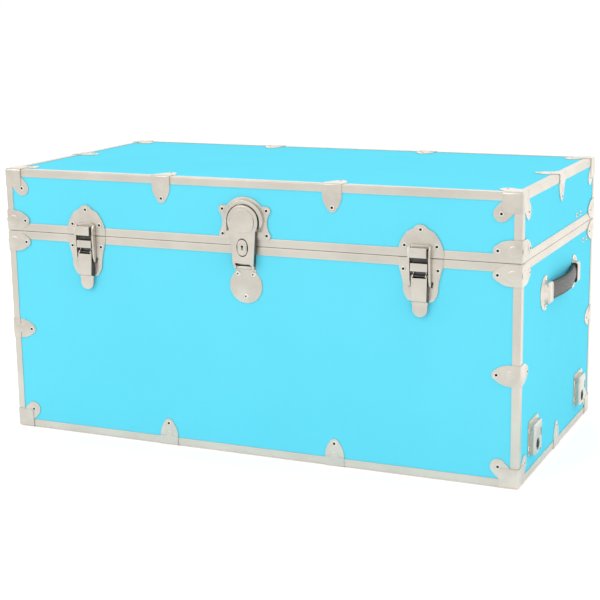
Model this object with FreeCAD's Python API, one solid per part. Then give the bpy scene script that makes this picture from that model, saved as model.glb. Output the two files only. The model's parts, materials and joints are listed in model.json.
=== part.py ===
import FreeCAD, Part
import math
import os
from FreeCAD import Vector

os.makedirs("parts", exist_ok=True)

# Storage trunk: a covered plywood box and lid with metal edges, two draw
# latches, a hasp lock, strap handles, three hinges and two lid stays.
# Millimetres. X runs left to right, the front looks along -Y, Z is up, and
# z = 0 is the floor that the bottom corners and clamps stand on.

# Box sizes, over the covering
WIDTH = 812.8
DEPTH = 406.4
HEIGHT = 406.4
LID_RISE = 94.1          # from the seam to the top of the lid

# Walls, from outside to inside
SKIN = 0.8               # vinyl covering
PLY = 9.0                # plywood panel
LINER = 0.8              # paper lining
WALL = SKIN + PLY + LINER

# Sheet metal
BAND = 1.0               # edge bindings and rim bands
CAP = 1.2                # stamped corners, clamps and plates
PROUD = BAND + CAP       # how far the stampings stand off the covering
LEG = 10.6               # width of a binding on each face
BEND = 1.6               # outer radius of a binding's bend
RIM = 12.3               # height of a rim band on the outside
SEAM_GAP = 0.6           # daylight between the two rim bands
EASE = 0.2               # side room between a stamping and a binding

# Corners and clamps
CORNER_BODY = 26.5       # square part of a corner cap
CORNER_ROUND = 4.0       # its outer rounding
LOBE_REACH = 28.0        # centre of the lobe's round end from both edges
LOBE_RADIUS = 11.4
CLAMP_HALF = 15.0        # half the clamp's width along the edge
CLAMP_REACH = 39.0       # from the edge to the clamp's tip
CLAMP_RIVET = 32.0       # from the edge to its rivet
KNEE_OFFSET = 16.5       # from the seam to the middle of a knee clamp
POST_CLAMP_Z = 160.0

# Rivets and screws
RIVET_HEAD = 3.6
RIVET_RISE = 0.9
RIVET_SHANK = 1.9
SCREW_HEAD = 4.0
SCREW_RISE = 1.8

# Draw latches
LATCH_X = 266.0
PIVOT_OUT = 5.0          # lever pin off the covering
PIVOT_DROP = 25.0        # lever pin below the seam
LINK_DROP = 12.0         # bail pin below the lever pin
LINK_IN = 0.6            # bail pin behind the lever pin, past dead centre
HOOK_RISE = 14.5         # ledge of the catch above the seam
HOOK_LIP = 1.1           # lip that keeps the bail on the ledge
HOOK_REACH = 12.1        # front of the catch off the covering
BAIL_OUT = 4.0           # middle of the bail's top bar off the covering
BAIL_THICK = 2.6
BAIL_LEG = 2.4
BAIL_FRONT = 8.8         # front edge of a bail leg off the covering
EYE_RADIUS = 2.9         # eye at the foot of each bail leg
LEVER_HALF = 10.4
HOOK_HALF = 11.1         # half the width of the catch and of the pivot bridge
BAIL_IN = 12.0           # from the middle of the latch to a bail leg
PIN_PLAY = 0.05          # radial play of every pin in its hole

# Hasp lock
HASP_HALF = 16.8
HASP_HEAD = 20.0
HASP_HEAD_RISE = 41.2    # middle of the round head above the seam
HASP_PIN_DROP = 30.5     # hasp pin below the seam
HASP_PIN_OUT = 4.6
HASP_BACK = 2.8
HASP_FRONT = 11.0
KEY_DROP = 1.0           # key plug below the seam
KEY_RADIUS = 6.0
CAM_RADIUS = 3.4

# Handles
HANDLE_DROP = 63.0       # middle of the grip below the seam
HANDLE_SPAN = 160.0      # between the middles of the two end loops
GRIP_HALF = 13.0
GRIP_THICK = 7.0
GRIP_BOW = 13.0          # finger room behind the middle of the grip
GRIP_INNER = 1.6         # back of the grip off the covering, in its loops
LOOP_PLAY = 0.3          # from the grip to the inside of a loop

# Wheel sockets, on the right end only
SOCKET_EDGE = 73.2       # middle of a socket from the front or back face
SOCKET_Z = 58.4
SOCKET_WIDE = 52.0
SOCKET_TALL = 49.6
SOCKET_OUT = 9.0

# Hinges and lid stays
HINGE_X = 270.0
HINGE_OUT = 5.0          # hinge line off the covering
HINGE_HALF = 30.0
HINGE_LEAF = 36.0
PIN_RADIUS = 2.0
STAY_RADIUS = 76.0       # both stay pivots are this far from the hinge line
STAY_LID_RISE = 22.0     # lid pivot above the seam
STAY_CASE_DROP = 24.0    # case stud below the seam
STAY_OPEN = 100.0        # degrees at which the slot ends
STAY_STRIP = 62.0        # length of a stay plate
LID_MARKS = (107.4, 85.5)   # stay rivets from the back face, in the lid
CASE_MARKS = (63.7, 41.7)   # and in the case
STUD_RADIUS = 2.5
ARM_THICK = 2.0

# Derived levels
HALF_W = WIDTH / 2
HALF_D = DEPTH / 2
Z_BOTTOM = PROUD
Z_TOP = Z_BOTTOM + HEIGHT
SEAM = Z_TOP - LID_RISE
HANDLE_Z = SEAM - HANDLE_DROP
SOCKET_Y = HALF_D - SOCKET_EDGE
CASE_RIM_TOP = SEAM - SEAM_GAP / 2
LID_RIM_LOW = SEAM + SEAM_GAP / 2
CASE_PLY_TOP = CASE_RIM_TOP - CAP
LID_PLY_LOW = SEAM + 8.2
HINGE_Y = HALF_D + HINGE_OUT


# Small tools

def box(x0, x1, y0, y1, z0, z1):
    return Part.makeBox(x1 - x0, y1 - y0, z1 - z0, Vector(x0, y0, z0))


def outline(*steps):
    """A flat face in the XY plane. A step is (x, y) for a straight edge to
    that point, or ((x, y), (x, y)) for an arc through the first point."""
    first = Vector(*steps[0], 0)
    here, edges = first, []
    for step in steps[1:]:
        if isinstance(step[0], tuple):
            via, end = Vector(*step[0], 0), Vector(*step[1], 0)
            edges.append(Part.Arc(here, via, end).toShape())
        else:
            end = Vector(*step, 0)
            edges.append(Part.makeLine(here, end))
        here = end
    if here.distanceToPoint(first) > 1e-6:
        edges.append(Part.makeLine(here, first))
    return Part.Face(Part.Wire(edges))


def slab(face, low, high):
    """Extrude a face of the XY plane between two heights."""
    solid = face.extrude(Vector(0, 0, high - low))
    solid.translate(Vector(0, 0, low))
    return solid


def frame(origin, right, up):
    """The matrix of a frame whose third axis is right x up."""
    out = right.cross(up)
    return FreeCAD.Matrix(right.x, up.x, out.x, origin.x,
                          right.y, up.y, out.y, origin.y,
                          right.z, up.z, out.z, origin.z, 0, 0, 0, 1)


def moved(shape, matrix):
    return shape.transformed(matrix, True)


X, Y, Z = Vector(1, 0, 0), Vector(0, 1, 0), Vector(0, 0, 1)

# Each face of the box: local x, y run along it and local z points outward
FACE = {
    "front": frame(Vector(0, -HALF_D, 0), X, Z),
    "back": frame(Vector(0, HALF_D, 0), -X, Z),
    "right": frame(Vector(HALF_W, 0, 0), Y, Z),
    "left": frame(Vector(-HALF_W, 0, 0), -Y, Z),
}


def rod(radius, start, end):
    start, end = Vector(*start), Vector(*end)
    return Part.makeCylinder(radius, (end - start).Length, start, end - start)


def edges_near(shape, test):
    """The edges whose middle point passes the test."""
    found = []
    for edge in shape.Edges:
        middle = edge.valueAt((edge.FirstParameter + edge.LastParameter) / 2)
        if test(middle):
            found.append(edge)
    return found


def rounded(shape, radius, test):
    return shape.makeFillet(radius, edges_near(shape, test))


def fused(*shapes):
    whole = shapes[0].multiFuse(list(shapes[1:])) if len(shapes) > 1 else shapes[0]
    return whole.removeSplitter()


def rivet(point, out, level):
    """A rivet through a stamping: point lies on the covering, out is the
    outward normal and level is the height of the stamping's face."""
    point, out = Vector(*point), Vector(*out)
    head = Part.makeCone(RIVET_HEAD, RIVET_HEAD - 0.8, RIVET_RISE, point + out * level, out)
    return head.fuse(Part.makeCylinder(RIVET_SHANK, level, point, out)).removeSplitter()


def rivet_hole(point, out, level):
    point, out = Vector(*point), Vector(*out)
    return Part.makeCylinder(RIVET_SHANK + PIN_PLAY, level + 2, point - out, out)


def rivet_seat(point, out, level):
    """Room for a rivet's head where a raised part of the stamping comes near."""
    point, out = Vector(*point), Vector(*out)
    return Part.makeCylinder(RIVET_HEAD + 2 * EASE, 2 * PROUD, point + out * level, out)


def screw(point, out, level):
    """A domed screw with its shank through the plate."""
    point, out = Vector(*point), Vector(*out)
    ball = (SCREW_HEAD ** 2 + SCREW_RISE ** 2) / (2 * SCREW_RISE)
    centre = point + out * (level + SCREW_RISE - ball)
    dome = Part.makeSphere(ball, centre)
    dome = dome.common(Part.makeCylinder(SCREW_HEAD, SCREW_RISE, point + out * level, out))
    return dome.fuse(Part.makeCylinder(RIVET_SHANK, level, point, out)).removeSplitter()


def save(name, *solids):
    shape = solids[0] if len(solids) == 1 else Part.makeCompound(list(solids))
    shape.exportStep("parts/" + name + ".step")


# Plywood panels, covering and lining

ply_w, ply_d = HALF_W - SKIN, HALF_D - SKIN
in_w, in_d = ply_w - PLY, ply_d - PLY
floor_low = Z_BOTTOM + SKIN
floor_top = floor_low + PLY
roof_top = Z_TOP - SKIN
roof_low = roof_top - PLY


def walls(low, high):
    """Front, back, left and right panels: the ends stand between the others."""
    return (box(-ply_w, ply_w, -ply_d, -in_d, low, high), box(-ply_w, ply_w, in_d, ply_d, low, high),
            box(-ply_w, -in_w, -in_d, in_d, low, high), box(in_w, ply_w, -in_d, in_d, low, high))


def skins(low, high):
    """Four upright sheets of covering, butted under the corner bindings."""
    return [box(-HALF_W, HALF_W, -HALF_D, -ply_d, low, high), box(-HALF_W, HALF_W, ply_d, HALF_D, low, high),
            box(-HALF_W, -ply_w, -ply_d, ply_d, low, high), box(ply_w, HALF_W, -ply_d, ply_d, low, high)]


def linings(low, high):
    """Four upright sheets of lining inside the panels."""
    liner_d = in_d - LINER
    return [box(-in_w, in_w, -in_d, -liner_d, low, high), box(-in_w, in_w, liner_d, in_d, low, high),
            box(-in_w, -in_w + LINER, -liner_d, liner_d, low, high),
            box(in_w - LINER, in_w, -liner_d, liner_d, low, high)]


for side, panel in zip(("front", "back", "left", "right"), walls(floor_low, CASE_PLY_TOP)):
    save("case_" + side + "_panel", panel)
save("case_bottom_panel", box(-in_w, in_w, -in_d, in_d, floor_low, floor_top))
save("case_covering", *skins(Z_BOTTOM, CASE_PLY_TOP), box(-ply_w, ply_w, -ply_d, ply_d, Z_BOTTOM, floor_low))
save("case_lining", *linings(floor_top + LINER, CASE_PLY_TOP),
     box(-in_w, in_w, -in_d, in_d, floor_top, floor_top + LINER))

for side, panel in zip(("front", "back", "left", "right"), walls(LID_PLY_LOW, roof_top)):
    save("lid_" + side + "_panel", panel)
save("lid_top_panel", box(-in_w, in_w, -in_d, in_d, roof_low, roof_top))
save("lid_covering", *skins(LID_PLY_LOW, Z_TOP), box(-ply_w, ply_w, -ply_d, ply_d, roof_top, Z_TOP))
save("lid_lining", *linings(LID_PLY_LOW, roof_low - LINER),
     box(-in_w, in_w, -in_d, in_d, roof_low - LINER, roof_low))


# Rim bands: mitred strips of one profile, a tongue on the case, a slot in the lid

def rim_strips(profile):
    """profile is a list of (out, z) points, out measured from the covering."""
    deep = WALL + 4 * BAND
    strips = []
    for side, half, reach in (("front", HALF_W, HALF_D), ("right", HALF_D, HALF_W),
                              ("back", HALF_W, HALF_D), ("left", HALF_D, HALF_W)):
        points = [Vector(-half - deep, z, out) for out, z in profile]
        strip = Part.Face(Part.makePolygon(points + points[:1])).extrude(Vector(2 * half + 2 * deep, 0, 0))
        mitre = [Vector(-half - deep, 0, deep), Vector(half + deep, 0, deep),
                 Vector(half - deep, 0, -deep), Vector(-half + deep, 0, -deep)]
        wedge = Part.Face(Part.makePolygon(mitre + mitre[:1])).extrude(Vector(0, Z_TOP, 0))
        strips.append(moved(strip.common(wedge), FACE[side]))
    return strips


TONGUE_OUT = -WALL / 2
case_profile = [(BAND, SEAM - RIM), (BAND, CASE_RIM_TOP), (TONGUE_OUT + 0.7, CASE_RIM_TOP),
                (TONGUE_OUT + 0.7, SEAM + 5.0), (TONGUE_OUT - 0.7, SEAM + 5.0),
                (TONGUE_OUT - 0.7, CASE_RIM_TOP), (-WALL - BAND, CASE_RIM_TOP), (-WALL - BAND, SEAM - 8.0),
                (-WALL, SEAM - 8.0), (-WALL, CASE_PLY_TOP), (0, CASE_PLY_TOP), (0, SEAM - RIM)]
save("case_rim_band", *rim_strips(case_profile))

SLOT_HALF = 3.0
lid_profile = [(BAND, SEAM + RIM), (0, SEAM + RIM), (0, LID_PLY_LOW), (-WALL, LID_PLY_LOW),
               (-WALL, SEAM + RIM), (-WALL - BAND, SEAM + RIM), (-WALL - BAND, LID_RIM_LOW),
               (TONGUE_OUT - SLOT_HALF, LID_RIM_LOW), (TONGUE_OUT - SLOT_HALF, LID_RIM_LOW + CAP),
               (-WALL, LID_RIM_LOW + CAP), (-WALL, LID_PLY_LOW - CAP), (0, LID_PLY_LOW - CAP),
               (0, LID_RIM_LOW + CAP), (TONGUE_OUT + SLOT_HALF, LID_RIM_LOW + CAP),
               (TONGUE_OUT + SLOT_HALF, LID_RIM_LOW), (BAND, LID_RIM_LOW)]
save("lid_rim_band", *rim_strips(lid_profile))


# Edge bindings: rolled angles that stop short of each corner under its cap

def angle(length):
    """An angle along local z with its legs on local x and y."""
    bend, middle = BEND - BAND, BEND * (1 - math.sqrt(0.5)) - BAND
    face = outline((LEG, -BAND), (LEG, 0), (0, 0), (0, LEG), (-BAND, LEG), (-BAND, bend),
                   ((middle, middle), (bend, -BAND)))
    return slab(face, 0, length)


START = LEG + 0.5        # a binding begins this far from the box corner
case_bindings, lid_bindings = [], []
for sx in (-1, 1):
    for sy in (-1, 1):
        first, second = (-sx * X, -sy * Y) if sx * sy > 0 else (-sy * Y, -sx * X)
        foot = Vector(sx * HALF_W, sy * HALF_D, Z_BOTTOM + START)
        post = SEAM - RIM - EASE - foot.z
        case_bindings.append(moved(angle(post), frame(foot, first, second)))
        foot = Vector(sx * HALF_W, sy * HALF_D, SEAM + RIM + EASE)
        post = Z_TOP - START - foot.z
        lid_bindings.append(moved(angle(post), frame(foot, first, second)))
for level, up, bindings in ((Z_BOTTOM, Z, case_bindings), (Z_TOP, -Z, lid_bindings)):
    for s in (-1, 1):
        for inward, along, half, reach in ((-s * Y, X, HALF_W, HALF_D), (-s * X, Y, HALF_D, HALF_W)):
            first, second = (up, inward) if up.cross(inward).dot(along) > 0 else (inward, up)
            start = along * (-half + START) - inward * reach + Z * level
            bindings.append(moved(angle(2 * (half - START)), frame(start, first, second)))
save("case_edge_bindings", *case_bindings)
save("lid_edge_bindings", *lid_bindings)


# Corner caps: a rounded square body over the bindings and a riveted lobe on each face

def corner_cap():
    """In a frame at the box corner whose axes run inward along the edges."""
    body = box(-PROUD, CORNER_BODY, -PROUD, CORNER_BODY, -PROUD, CORNER_BODY)
    outer = -PROUD + 0.01

    def on_outer_edge(p):
        return sum(c < outer for c in (p.x, p.y, p.z)) == 2
    body = rounded(body, CORNER_ROUND, on_outer_edge)
    inner = box(0, CORNER_BODY + 1, 0, CORNER_BODY + 1, 0, CORNER_BODY + 1)
    under, begin, far = LEG + EASE, START - EASE, CORNER_BODY + 1
    strips = [box(-BAND, under, -BAND, 0, begin, far), box(-BAND, 0, -BAND, under, begin, far),
              box(-BAND, under, begin, far, -BAND, 0), box(-BAND, 0, begin, far, -BAND, under),
              box(begin, far, -BAND, under, -BAND, 0), box(begin, far, -BAND, 0, -BAND, under)]
    body = body.cut(inner.multiFuse(strips))
    c, side, near = LOBE_REACH, LOBE_RADIUS * math.sqrt(0.5), LEG + EASE
    lobe = outline((near, near), (near + 2 * side, near), (c + side, c - side),
                   ((c + side, c + side), (c - side, c + side)), (near, near + 2 * side))
    lobe = slab(lobe, -CAP, 0)
    turn = [lobe, moved(lobe, frame(Vector(0, 0, 0), Y, Z)), moved(lobe, frame(Vector(0, 0, 0), Z, X))]
    cap = fused(body, *turn)
    spots = [((c, c, 0), (0, 0, -1)), ((0, c, c), (-1, 0, 0)), ((c, 0, c), (0, -1, 0))]
    seats = [rivet_seat(p, n, CAP) for p, n in spots]
    cap = cap.cut(Part.makeCompound(seats + [rivet_hole(p, n, CAP) for p, n in spots]))
    return cap, [rivet(p, n, CAP) for p, n in spots]


case_rivets, lid_rivets = [], []
cap, cap_rivets = corner_cap()
corners = {"case": [], "lid": []}
for body, level, up, rivets in (("case", Z_BOTTOM, Z, case_rivets), ("lid", Z_TOP, -Z, lid_rivets)):
    for sx in (-1, 1):
        for sy in (-1, 1):
            first, second = -sx * X, -sy * Y
            if first.cross(second).dot(up) < 0:
                first, second = second, first
            place = frame(Vector(sx * HALF_W, sy * HALF_D, level), first, second)
            corners[body].append(moved(cap, place))
            rivets.extend(moved(r, place) for r in cap_rivets)
save("case_corner_caps", *corners["case"])
save("lid_corner_caps", *corners["lid"])


# Clamps: one bent stamping with two leaf-shaped legs, used along edges and at the seam

def clamp(knee):
    """In a frame at a box edge, local z along the edge. A knee clamp crosses
    the rim band on its low side and stays at one level."""
    h, reach = CLAMP_HALF, CLAMP_REACH
    leaf = outline((-PROUD, -h), (LEG, -h), ((25, -12.6), (34, -7.2)), ((reach, 0), (34, 7.2)),
                   ((25, 12.6), (LEG, h)), (-PROUD, h))
    level_leg = moved(slab(leaf, 0, PROUD), frame(Vector(0, 0, 0), X, Z))
    upright_leg = moved(slab(leaf, -PROUD, 0), frame(Vector(0, 0, 0), Y, Z))
    plate = fused(level_leg, upright_leg)
    plate = rounded(plate, 2.6, lambda p: p.x < -PROUD + 0.01 and p.y < -PROUD + 0.01)
    under, far = LEG + EASE, reach + 1
    cuts = [box(-BAND, under, -BAND, 0, -h - 1, h + 1), box(-BAND, 0, -BAND, under, -h - 1, h + 1)]
    level = PROUD
    if knee:
        rim = RIM - KNEE_OFFSET + EASE
        cuts += [box(-BAND, far, -BAND, 0, -h - 1, rim), box(-BAND, 0, -BAND, far, -h - 1, rim)]
    else:
        level = CAP
        step = under + CAP
        cuts += [box(step, far, -PROUD - 1, -CAP, -h - 1, h + 1),
                 box(-PROUD - 1, -CAP, step, far, -h - 1, h + 1)]
    spots = [((CLAMP_RIVET, 0, 0), (0, -1, 0)), ((0, CLAMP_RIVET, 0), (-1, 0, 0))]
    plate = plate.cut(Part.makeCompound(cuts + [rivet_hole(p, n, level) for p, n in spots]))
    return plate, [rivet(p, n, level) for p, n in spots]


def place_clamps(piece, frames, solids, rivets):
    plate, own = piece
    for place in frames:
        solids.append(moved(plate, place))
        rivets.extend(moved(r, place) for r in own)


def post_frame(sx, sy, z, up):
    first, second = -sx * X, -sy * Y
    if first.cross(second).dot(up) < 0:
        first, second = second, first
    return frame(Vector(sx * HALF_W, sy * HALF_D, z), first, second)


def edge_frames(level, up):
    """Two clamps along the front and back edges and one along each end."""
    frames = []
    for s in (-1, 1):
        for x in (-WIDTH / 6, WIDTH / 6):
            frames.append(frame(Vector(x, s * HALF_D, level), up, -s * Y))
        frames.append(frame(Vector(s * HALF_W, 0, level), up, -s * X))
    return frames


posts = [(sx, sy) for sx in (-1, 1) for sy in (-1, 1)]
edge_piece, knee_piece = clamp(False), clamp(True)
case_clamps, lid_clamps, case_knees, lid_knees = [], [], [], []
place_clamps(edge_piece, edge_frames(Z_BOTTOM, Z), case_clamps, case_rivets)
place_clamps(edge_piece, [post_frame(sx, sy, POST_CLAMP_Z, Z) for sx, sy in posts], case_clamps, case_rivets)
place_clamps(edge_piece, edge_frames(Z_TOP, -Z), lid_clamps, lid_rivets)
below = [post_frame(sx, sy, SEAM - KNEE_OFFSET, -Z) for sx, sy in posts]
above = [post_frame(sx, sy, SEAM + KNEE_OFFSET, Z) for sx, sy in posts]
place_clamps(knee_piece, below, case_knees, case_rivets)
place_clamps(knee_piece, above, lid_knees, lid_rivets)
save("case_edge_clamps", *case_clamps)
save("lid_edge_clamps", *lid_clamps)
save("case_knee_clamps", *case_knees)
save("lid_knee_clamps", *lid_knees)


# Plates on the front are drawn in the front frame: x right, y height, z outward

def front(shape, x=0):
    shape = moved(shape, FACE["front"])
    shape.translate(Vector(x, 0, 0))
    return shape


def band_zone(half, low, high):
    """The room that the rim bands take under a plate."""
    return box(-half, half, low, high, -1, BAND)


def front_rivets(plate, spots, level, rivets, xs):
    """Drill a front plate and add its rivets at each x."""
    for a, b in spots:
        plate = plate.cut(rivet_hole((a, b, 0), (0, 0, 1), level))
        rivets.extend(front(rivet((a, b, 0), (0, 0, 1), level), x) for x in xs)
    return plate


# Draw latches: a catch on the lid, and a base, lever and bail on the case

LATCHES = (("left", -LATCH_X), ("right", LATCH_X))
latch_xs = [x for _, x in LATCHES]
pin_z = SEAM - PIVOT_DROP
link_z, link_out = pin_z - LINK_DROP, PIVOT_OUT - LINK_IN
ledge = SEAM + HOOK_RISE

low = SEAM + 0.8
shape = outline((-33, low), (33, low), (33, SEAM + 10), ((28, SEAM + 23.5), (20.5, SEAM + 34.2)),
                ((13.5, SEAM + 37.8), (9, SEAM + 40.5)), ((0, SEAM + 45.8), (-9, SEAM + 40.5)),
                ((-13.5, SEAM + 37.8), (-20.5, SEAM + 34.2)), ((-28, SEAM + 23.5), (-33, SEAM + 10)))
catch = slab(shape, 0, PROUD).cut(band_zone(40, SEAM, SEAM + RIM + EASE))
spots = [(0, SEAM + 39), (-23.3, SEAM + 16.5), (23.3, SEAM + 16.5)]
catch = front_rivets(catch, spots, PROUD, lid_rivets, latch_xs)
hook_low, hook_half, sheet = SEAM + 1.6, HOOK_HALF, CAP
hook = box(-hook_half, hook_half, hook_low, ledge + HOOK_LIP, PROUD - 0.2, HOOK_REACH)
hook = rounded(hook, 1.6, lambda p: p.z > HOOK_REACH - 0.01 and abs(p.x) > hook_half - 0.01)
hook = rounded(hook, 1.1, lambda p: p.z > HOOK_REACH - 0.01 and p.y < hook_low + 0.01)
hollow = box(-hook_half + sheet, hook_half - sheet, hook_low - 1, ledge - sheet, PROUD, HOOK_REACH - sheet)
groove = box(-hook_half - 1, hook_half + 1, ledge, ledge + 9, PROUD, HOOK_REACH - sheet)
catch = fused(catch, hook.cut(hollow.fuse(groove)))

high = SEAM - 0.8
shape = outline((-33, high), (-31.5, SEAM - 13), ((-27.5, SEAM - 28), (-25.3, SEAM - 40)),
                ((-22, SEAM - 54), (-13, SEAM - 61)), ((0, SEAM - 63), (13, SEAM - 61)),
                ((22, SEAM - 54), (25.3, SEAM - 40)), ((27.5, SEAM - 28), (31.5, SEAM - 13)), (33, high))
base = slab(shape, 0, PROUD).cut(band_zone(40, SEAM - RIM - EASE, SEAM))
spots = [(-25, SEAM - 16.5), (25, SEAM - 16.5), (0, SEAM - 50)]
base = front_rivets(base, spots, PROUD, case_rivets, latch_xs)
ear_in, ear_out = LEVER_HALF - 2.7, LEVER_HALF - 1.5
bridge_low, bridge_high, bridge_out = pin_z + 7.5, pin_z + 18.5, PIVOT_OUT + 4.0
ear = outline((pin_z - 5, PROUD - 0.2), (pin_z - 3.6, PIVOT_OUT),
              ((pin_z, PIVOT_OUT + 3.6), (pin_z + 3.6, PIVOT_OUT)), (pin_z + 5.9, PIVOT_OUT + 0.2),
              (bridge_low, bridge_out), (bridge_high, bridge_out), (bridge_high, PROUD - 0.2))
ear = moved(ear, frame(Vector(0, 0, 0), Y, Z))
ears = [ear.extrude(X * (ear_out - ear_in)), ear.extrude(X * (ear_out - ear_in))]
ears[0].translate(X * ear_in)
ears[1].translate(X * -ear_out)
bridge = box(-HOOK_HALF, HOOK_HALF, bridge_low, bridge_high, bridge_out - CAP, bridge_out)
base = fused(base, ears[0], ears[1], bridge)
base = rounded(base, 0.9, lambda p: p.z > bridge_out - 0.01 and abs(p.x) > HOOK_HALF - 0.01)
base = base.cut(rod(1.6 + PIN_PLAY, (-20, pin_z, PIVOT_OUT), (20, pin_z, PIVOT_OUT)))
eye_low = link_out - EYE_RADIUS - 0.4
for s in (-1, 1):
    x0, x1 = sorted((s * (BAIL_IN - 0.5), s * (BAIL_IN + BAIL_LEG + 1.4)))
    base = base.cut(box(x0, x1, link_z - EYE_RADIUS - 1, link_z + EYE_RADIUS + 1, eye_low, PROUD + 1))
pivot_pin = rod(1.6, (-LEVER_HALF, pin_z, PIVOT_OUT), (LEVER_HALF, pin_z, PIVOT_OUT))

# The lever is a pressed channel that steps down into a finger tab near the case
face_out, tab_out = PIVOT_OUT + 5.0, PIVOT_OUT + 0.2
fold_z, tab_z, tab_half = SEAM - 58.5, SEAM - 78.5, 9.8
side = outline((pin_z + 1.6, PIVOT_OUT - 1.9), ((pin_z + 2.48, PIVOT_OUT), (pin_z + 1.6, PIVOT_OUT + 1.9)),
               (pin_z - 2.5, face_out), (fold_z, face_out), (fold_z - 3.0, tab_out),
               (fold_z - 3.0, tab_out - CAP), (fold_z + 2, PIVOT_OUT - 1.9))
channel = moved(side, frame(Vector(0, 0, 0), Y, Z)).extrude(X * 2 * LEVER_HALF)
channel.translate(X * -LEVER_HALF)
channel = rounded(channel, 1.5, lambda p: abs(p.x) > LEVER_HALF - 0.01 and p.z > face_out - 0.01)
inside = LEVER_HALF - CAP
room = box(-inside, inside, fold_z + 0.4, pin_z + 6, PROUD - 1, face_out - CAP)
room = room.fuse(box(-inside, inside, pin_z - 2.2, pin_z + 6, PROUD - 1, face_out + 1))
channel = channel.cut(room)
tab_shape = outline((-LEVER_HALF, fold_z - 1), (-LEVER_HALF, fold_z - 4), (-tab_half, fold_z - 6),
                    (-tab_half, tab_z + tab_half), ((0, tab_z), (tab_half, tab_z + tab_half)),
                    (tab_half, fold_z - 6), (LEVER_HALF, fold_z - 4), (LEVER_HALF, fold_z - 1))
tab = slab(tab_shape, tab_out - CAP, tab_out)
lever = fused(channel, tab)
lever = lever.cut(rod(1.6 + PIN_PLAY, (-20, pin_z, PIVOT_OUT), (20, pin_z, PIVOT_OUT)))
lever = lever.cut(rod(1.5 + PIN_PLAY, (-20, link_z, link_out), (20, link_z, link_out)))

# The bail is a loop of strip: two legs, a top bar and an eye at each foot
leg_in = BAIL_IN
leg_out = leg_in + BAIL_LEG
bar_low = ledge + 0.3
bar_high = bar_low + 4.0
arch = outline((-leg_out, link_z), (-leg_out, bar_high - 5),
               ((-leg_out + 1.5, bar_high - 1.5), (-leg_out + 5, bar_high)), (leg_out - 5, bar_high),
               ((leg_out - 1.5, bar_high - 1.5), (leg_out, bar_high - 5)), (leg_out, link_z),
               (leg_in, link_z), (leg_in, bar_low - 0.8),
               ((leg_in - 0.24, bar_low - 0.24), (leg_in - 0.8, bar_low)),
               (-leg_in + 0.8, bar_low), ((-leg_in + 0.24, bar_low - 0.24), (-leg_in, bar_low - 0.8)),
               (-leg_in, link_z))
bail = slab(arch, -BAIL_THICK / 2, BAIL_THICK / 2)
lean = math.degrees(math.atan2(link_out - BAIL_OUT, (bar_low + bar_high) / 2 - link_z))
bail.rotate(Vector(0, link_z, 0), X, -lean)
bail.translate(Z * link_out)
leg_back = PROUD + 0.5
side = outline((link_z - 2.4, leg_back + 0.3), (bar_high - 1.6, leg_back),
               (bar_high - 1.6, leg_back + BAIL_THICK),
               (bar_low - 4, BAIL_FRONT), (link_z + 6, BAIL_FRONT), (link_z - 2.4, link_out + 1.5))
leg = moved(side, frame(Vector(0, 0, 0), Y, Z)).extrude(X * BAIL_LEG)
legs = [leg.copy(), leg]
legs[0].translate(X * leg_in)
legs[1].translate(X * -leg_out)
eyes = [rod(EYE_RADIUS, (s * leg_in, link_z, link_out), (s * leg_out, link_z, link_out)) for s in (-1, 1)]
link_hole = rod(1.5 + PIN_PLAY, (-30, link_z, link_out), (30, link_z, link_out))
bail = fused(bail, *legs, *eyes).cut(link_hole)
link_pin = fused(rod(1.5, (-leg_out - 0.9, link_z, link_out), (leg_out + 0.9, link_z, link_out)),
                 rod(2.4, (-leg_out - 0.9, link_z, link_out), (-leg_out - 0.1, link_z, link_out)),
                 rod(2.4, (leg_out + 0.1, link_z, link_out), (leg_out + 0.9, link_z, link_out)))

for side, x in LATCHES:
    save(side + "_latch_catch", front(catch, x))
    save(side + "_latch_base", front(base, x))
    save(side + "_latch_lever", front(lever, x))
    save(side + "_latch_bail_pin", front(link_pin, x))
    save(side + "_latch_bail", front(bail, x))
save("latch_pivot_pins", *[front(pivot_pin, x) for x in latch_xs])


# Hasp lock: a strike plate with a staple on the lid, and a hinged lock case below

head_z, hasp_pin_z, key_z = SEAM + HASP_HEAD_RISE, SEAM - HASP_PIN_DROP, SEAM - KEY_DROP
ear_rows = (SEAM + 52.5, SEAM + 16.5)
shape = outline((-28, SEAM + 9.6), (28, SEAM + 9.6), ((36.6, SEAM + 13.2), (35.8, SEAM + 20)),
                ((32.2, SEAM + 34), (35.8, SEAM + 48)), ((37, SEAM + 55), (30, SEAM + 58)), (24.8, SEAM + 58),
                ((0, head_z + 30), (-24.8, SEAM + 58)), (-30, SEAM + 58),
                ((-37, SEAM + 55), (-35.8, SEAM + 48)),
                ((-32.2, SEAM + 34), (-35.8, SEAM + 20)), ((-36.6, SEAM + 13.2), (-28, SEAM + 9.6)))
strike = slab(shape, 0, PROUD).cut(band_zone(60, SEAM, SEAM + RIM + EASE))
strike = front_rivets(strike, [(s * 31.8, row) for s in (-1, 1) for row in ear_rows], PROUD, lid_rivets, [0])
ring_in, ring_out, ring_low = HASP_HEAD + 1.4, HASP_HEAD + 5.6, head_z - 12
ring = outline((ring_in, ring_low), (ring_out, ring_low), (ring_out, head_z),
               ((0, head_z + ring_out), (-ring_out, head_z)), (-ring_out, ring_low), (-ring_in, ring_low),
               (-ring_in, head_z), ((0, head_z + ring_in), (ring_in, head_z)))
ring = slab(ring, PROUD - 0.2, 8.0)
ring = rounded(ring, 1.4, lambda p: p.z > 7.99 and math.hypot(p.x, max(p.y - head_z, 0)) > ring_out - 1)
staple_low, staple_high = SEAM + 18, SEAM + 27
staple = box(-6.2, 6.2, staple_low, staple_high, PROUD - 0.2, 8.2)
staple = rounded(staple, 1.5, lambda p: p.z > 8.19 and abs(p.x) > 6.19)
staple = staple.cut(box(-4.2, 4.2, staple_low - 1, staple_high + 1, PROUD, 6.6))
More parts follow.
